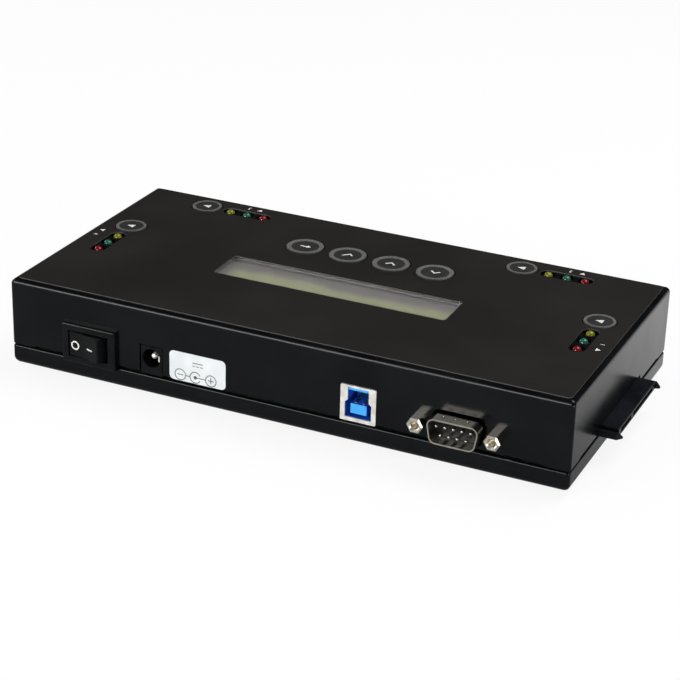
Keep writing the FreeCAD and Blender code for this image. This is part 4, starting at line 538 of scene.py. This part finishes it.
gloss = addNode(tree, "ShaderNodeMath", {0: rays.outputs["Is Glossy Ray"], 1: studio["glossLift"]},
                operation="MULTIPLY")
lift = addNode(tree, "ShaderNodeMath", {0: direct.outputs[0], 1: gloss.outputs[0]}, operation="MAXIMUM")
sheet = addNode(tree, "ShaderNodeBsdfDiffuse", {"Color": hexColour("#f6f6f6")})
white = addNode(tree, "ShaderNodeEmission", {"Color": (1, 1, 1, 1), "Strength": tone.outputs[0]})
mixed = addNode(tree, "ShaderNodeMixShader", {0: lift.outputs[0], 1: sheet.outputs[0], 2: white.outputs[0]})
addNode(tree, "ShaderNodeOutputMaterial", {"Surface": mixed.outputs[0]})
data.materials.append(paper)

world = bpy.data.worlds.new("studio")
bpy.context.scene.world = world
world.use_nodes = True
tree = world.node_tree
tree.nodes.clear()
rays = addNode(tree, "ShaderNodeLightPath")
seen = addNode(tree, "ShaderNodeMath", {0: rays.outputs["Is Camera Ray"], 1: rays.outputs["Is Glossy Ray"]},
               operation="MAXIMUM")
sky = addNode(tree, "ShaderNodeTexCoord").outputs["Generated"]
upward = addNode(tree, "ShaderNodeSeparateXYZ", {0: sky})
fade = addNode(tree, "ShaderNodeMapRange", {
    0: upward.outputs["Z"], 1: 0.0, 2: studio["roomFrom"], 3: studio["horizonTone"], 4: studio["roomTone"]},
               interpolation_type="SMOOTHSTEP")
shown = addNode(tree, "ShaderNodeBackground", {"Color": (1, 1, 1, 1), "Strength": fade.outputs[0]})
fill = addNode(tree, "ShaderNodeBackground", {"Color": (1, 1, 1, 1), "Strength": studio["fill"]})
mixed = addNode(tree, "ShaderNodeMixShader", {0: seen.outputs[0], 1: fill.outputs[0], 2: shown.outputs[0]})
addNode(tree, "ShaderNodeOutputWorld", {"Surface": mixed.outputs[0]})

softBoxes = [  # place and size in metres, power in watts
    {"name": "viewer_left_box", "place": (0.34, 0.74, 0.34), "size": (0.65, 0.18), "power": 3.6},
    {"name": "reflection_card", "place": (0.34, 0.74, 0.34), "size": (0.65, 0.18), "power": 7.5,
     "gloss": True},
    {"name": "viewer_right_box", "place": (-0.70, 0.42, 0.14), "size": (0.30, 0.20), "power": 1.2},
    {"name": "overhead_box", "place": (-0.30, -0.22, 0.75), "size": (0.5, 0.5), "power": 4.0},
    {"name": "far_left_box", "place": (0.80, -0.23, 0.28), "size": (0.30, 0.30), "power": 1.0},
]
for box in softBoxes:
    lamp = bpy.data.lights.new(box["name"], "AREA")
    lamp.shape = "RECTANGLE"
    lamp.size, lamp.size_y = box["size"]
    lamp.energy = box["power"]
    holder = bpy.data.objects.new(box["name"], lamp)
    holder.location = box["place"]
    holder.visible_diffuse = not box.get("gloss")  # a card may show in reflections alone
    holder.rotation_euler = (-Vector(box["place"])).to_track_quat("-Z", "Y").to_euler()
    bpy.context.scene.collection.objects.link(holder)
print("soft boxes:", len(softBoxes))

# Camera at the photograph's place: mm, degrees, and mm of lens on a 36 mm sensor
camera = {"place": (-254.27, 571.30, 299.51), "turn": (65.24, -1.55, 204.77), "lens": 109.08}
view = bpy.data.cameras.new("camera")
view.sensor_width = 36
view.lens = camera["lens"]
holder = bpy.data.objects.new("camera", view)
holder.location = [value * mm for value in camera["place"]]
holder.rotation_euler = [math.radians(value) for value in camera["turn"]]
bpy.context.scene.collection.objects.link(holder)
bpy.context.scene.camera = holder
bpy.context.scene.view_settings.view_transform = "Standard"
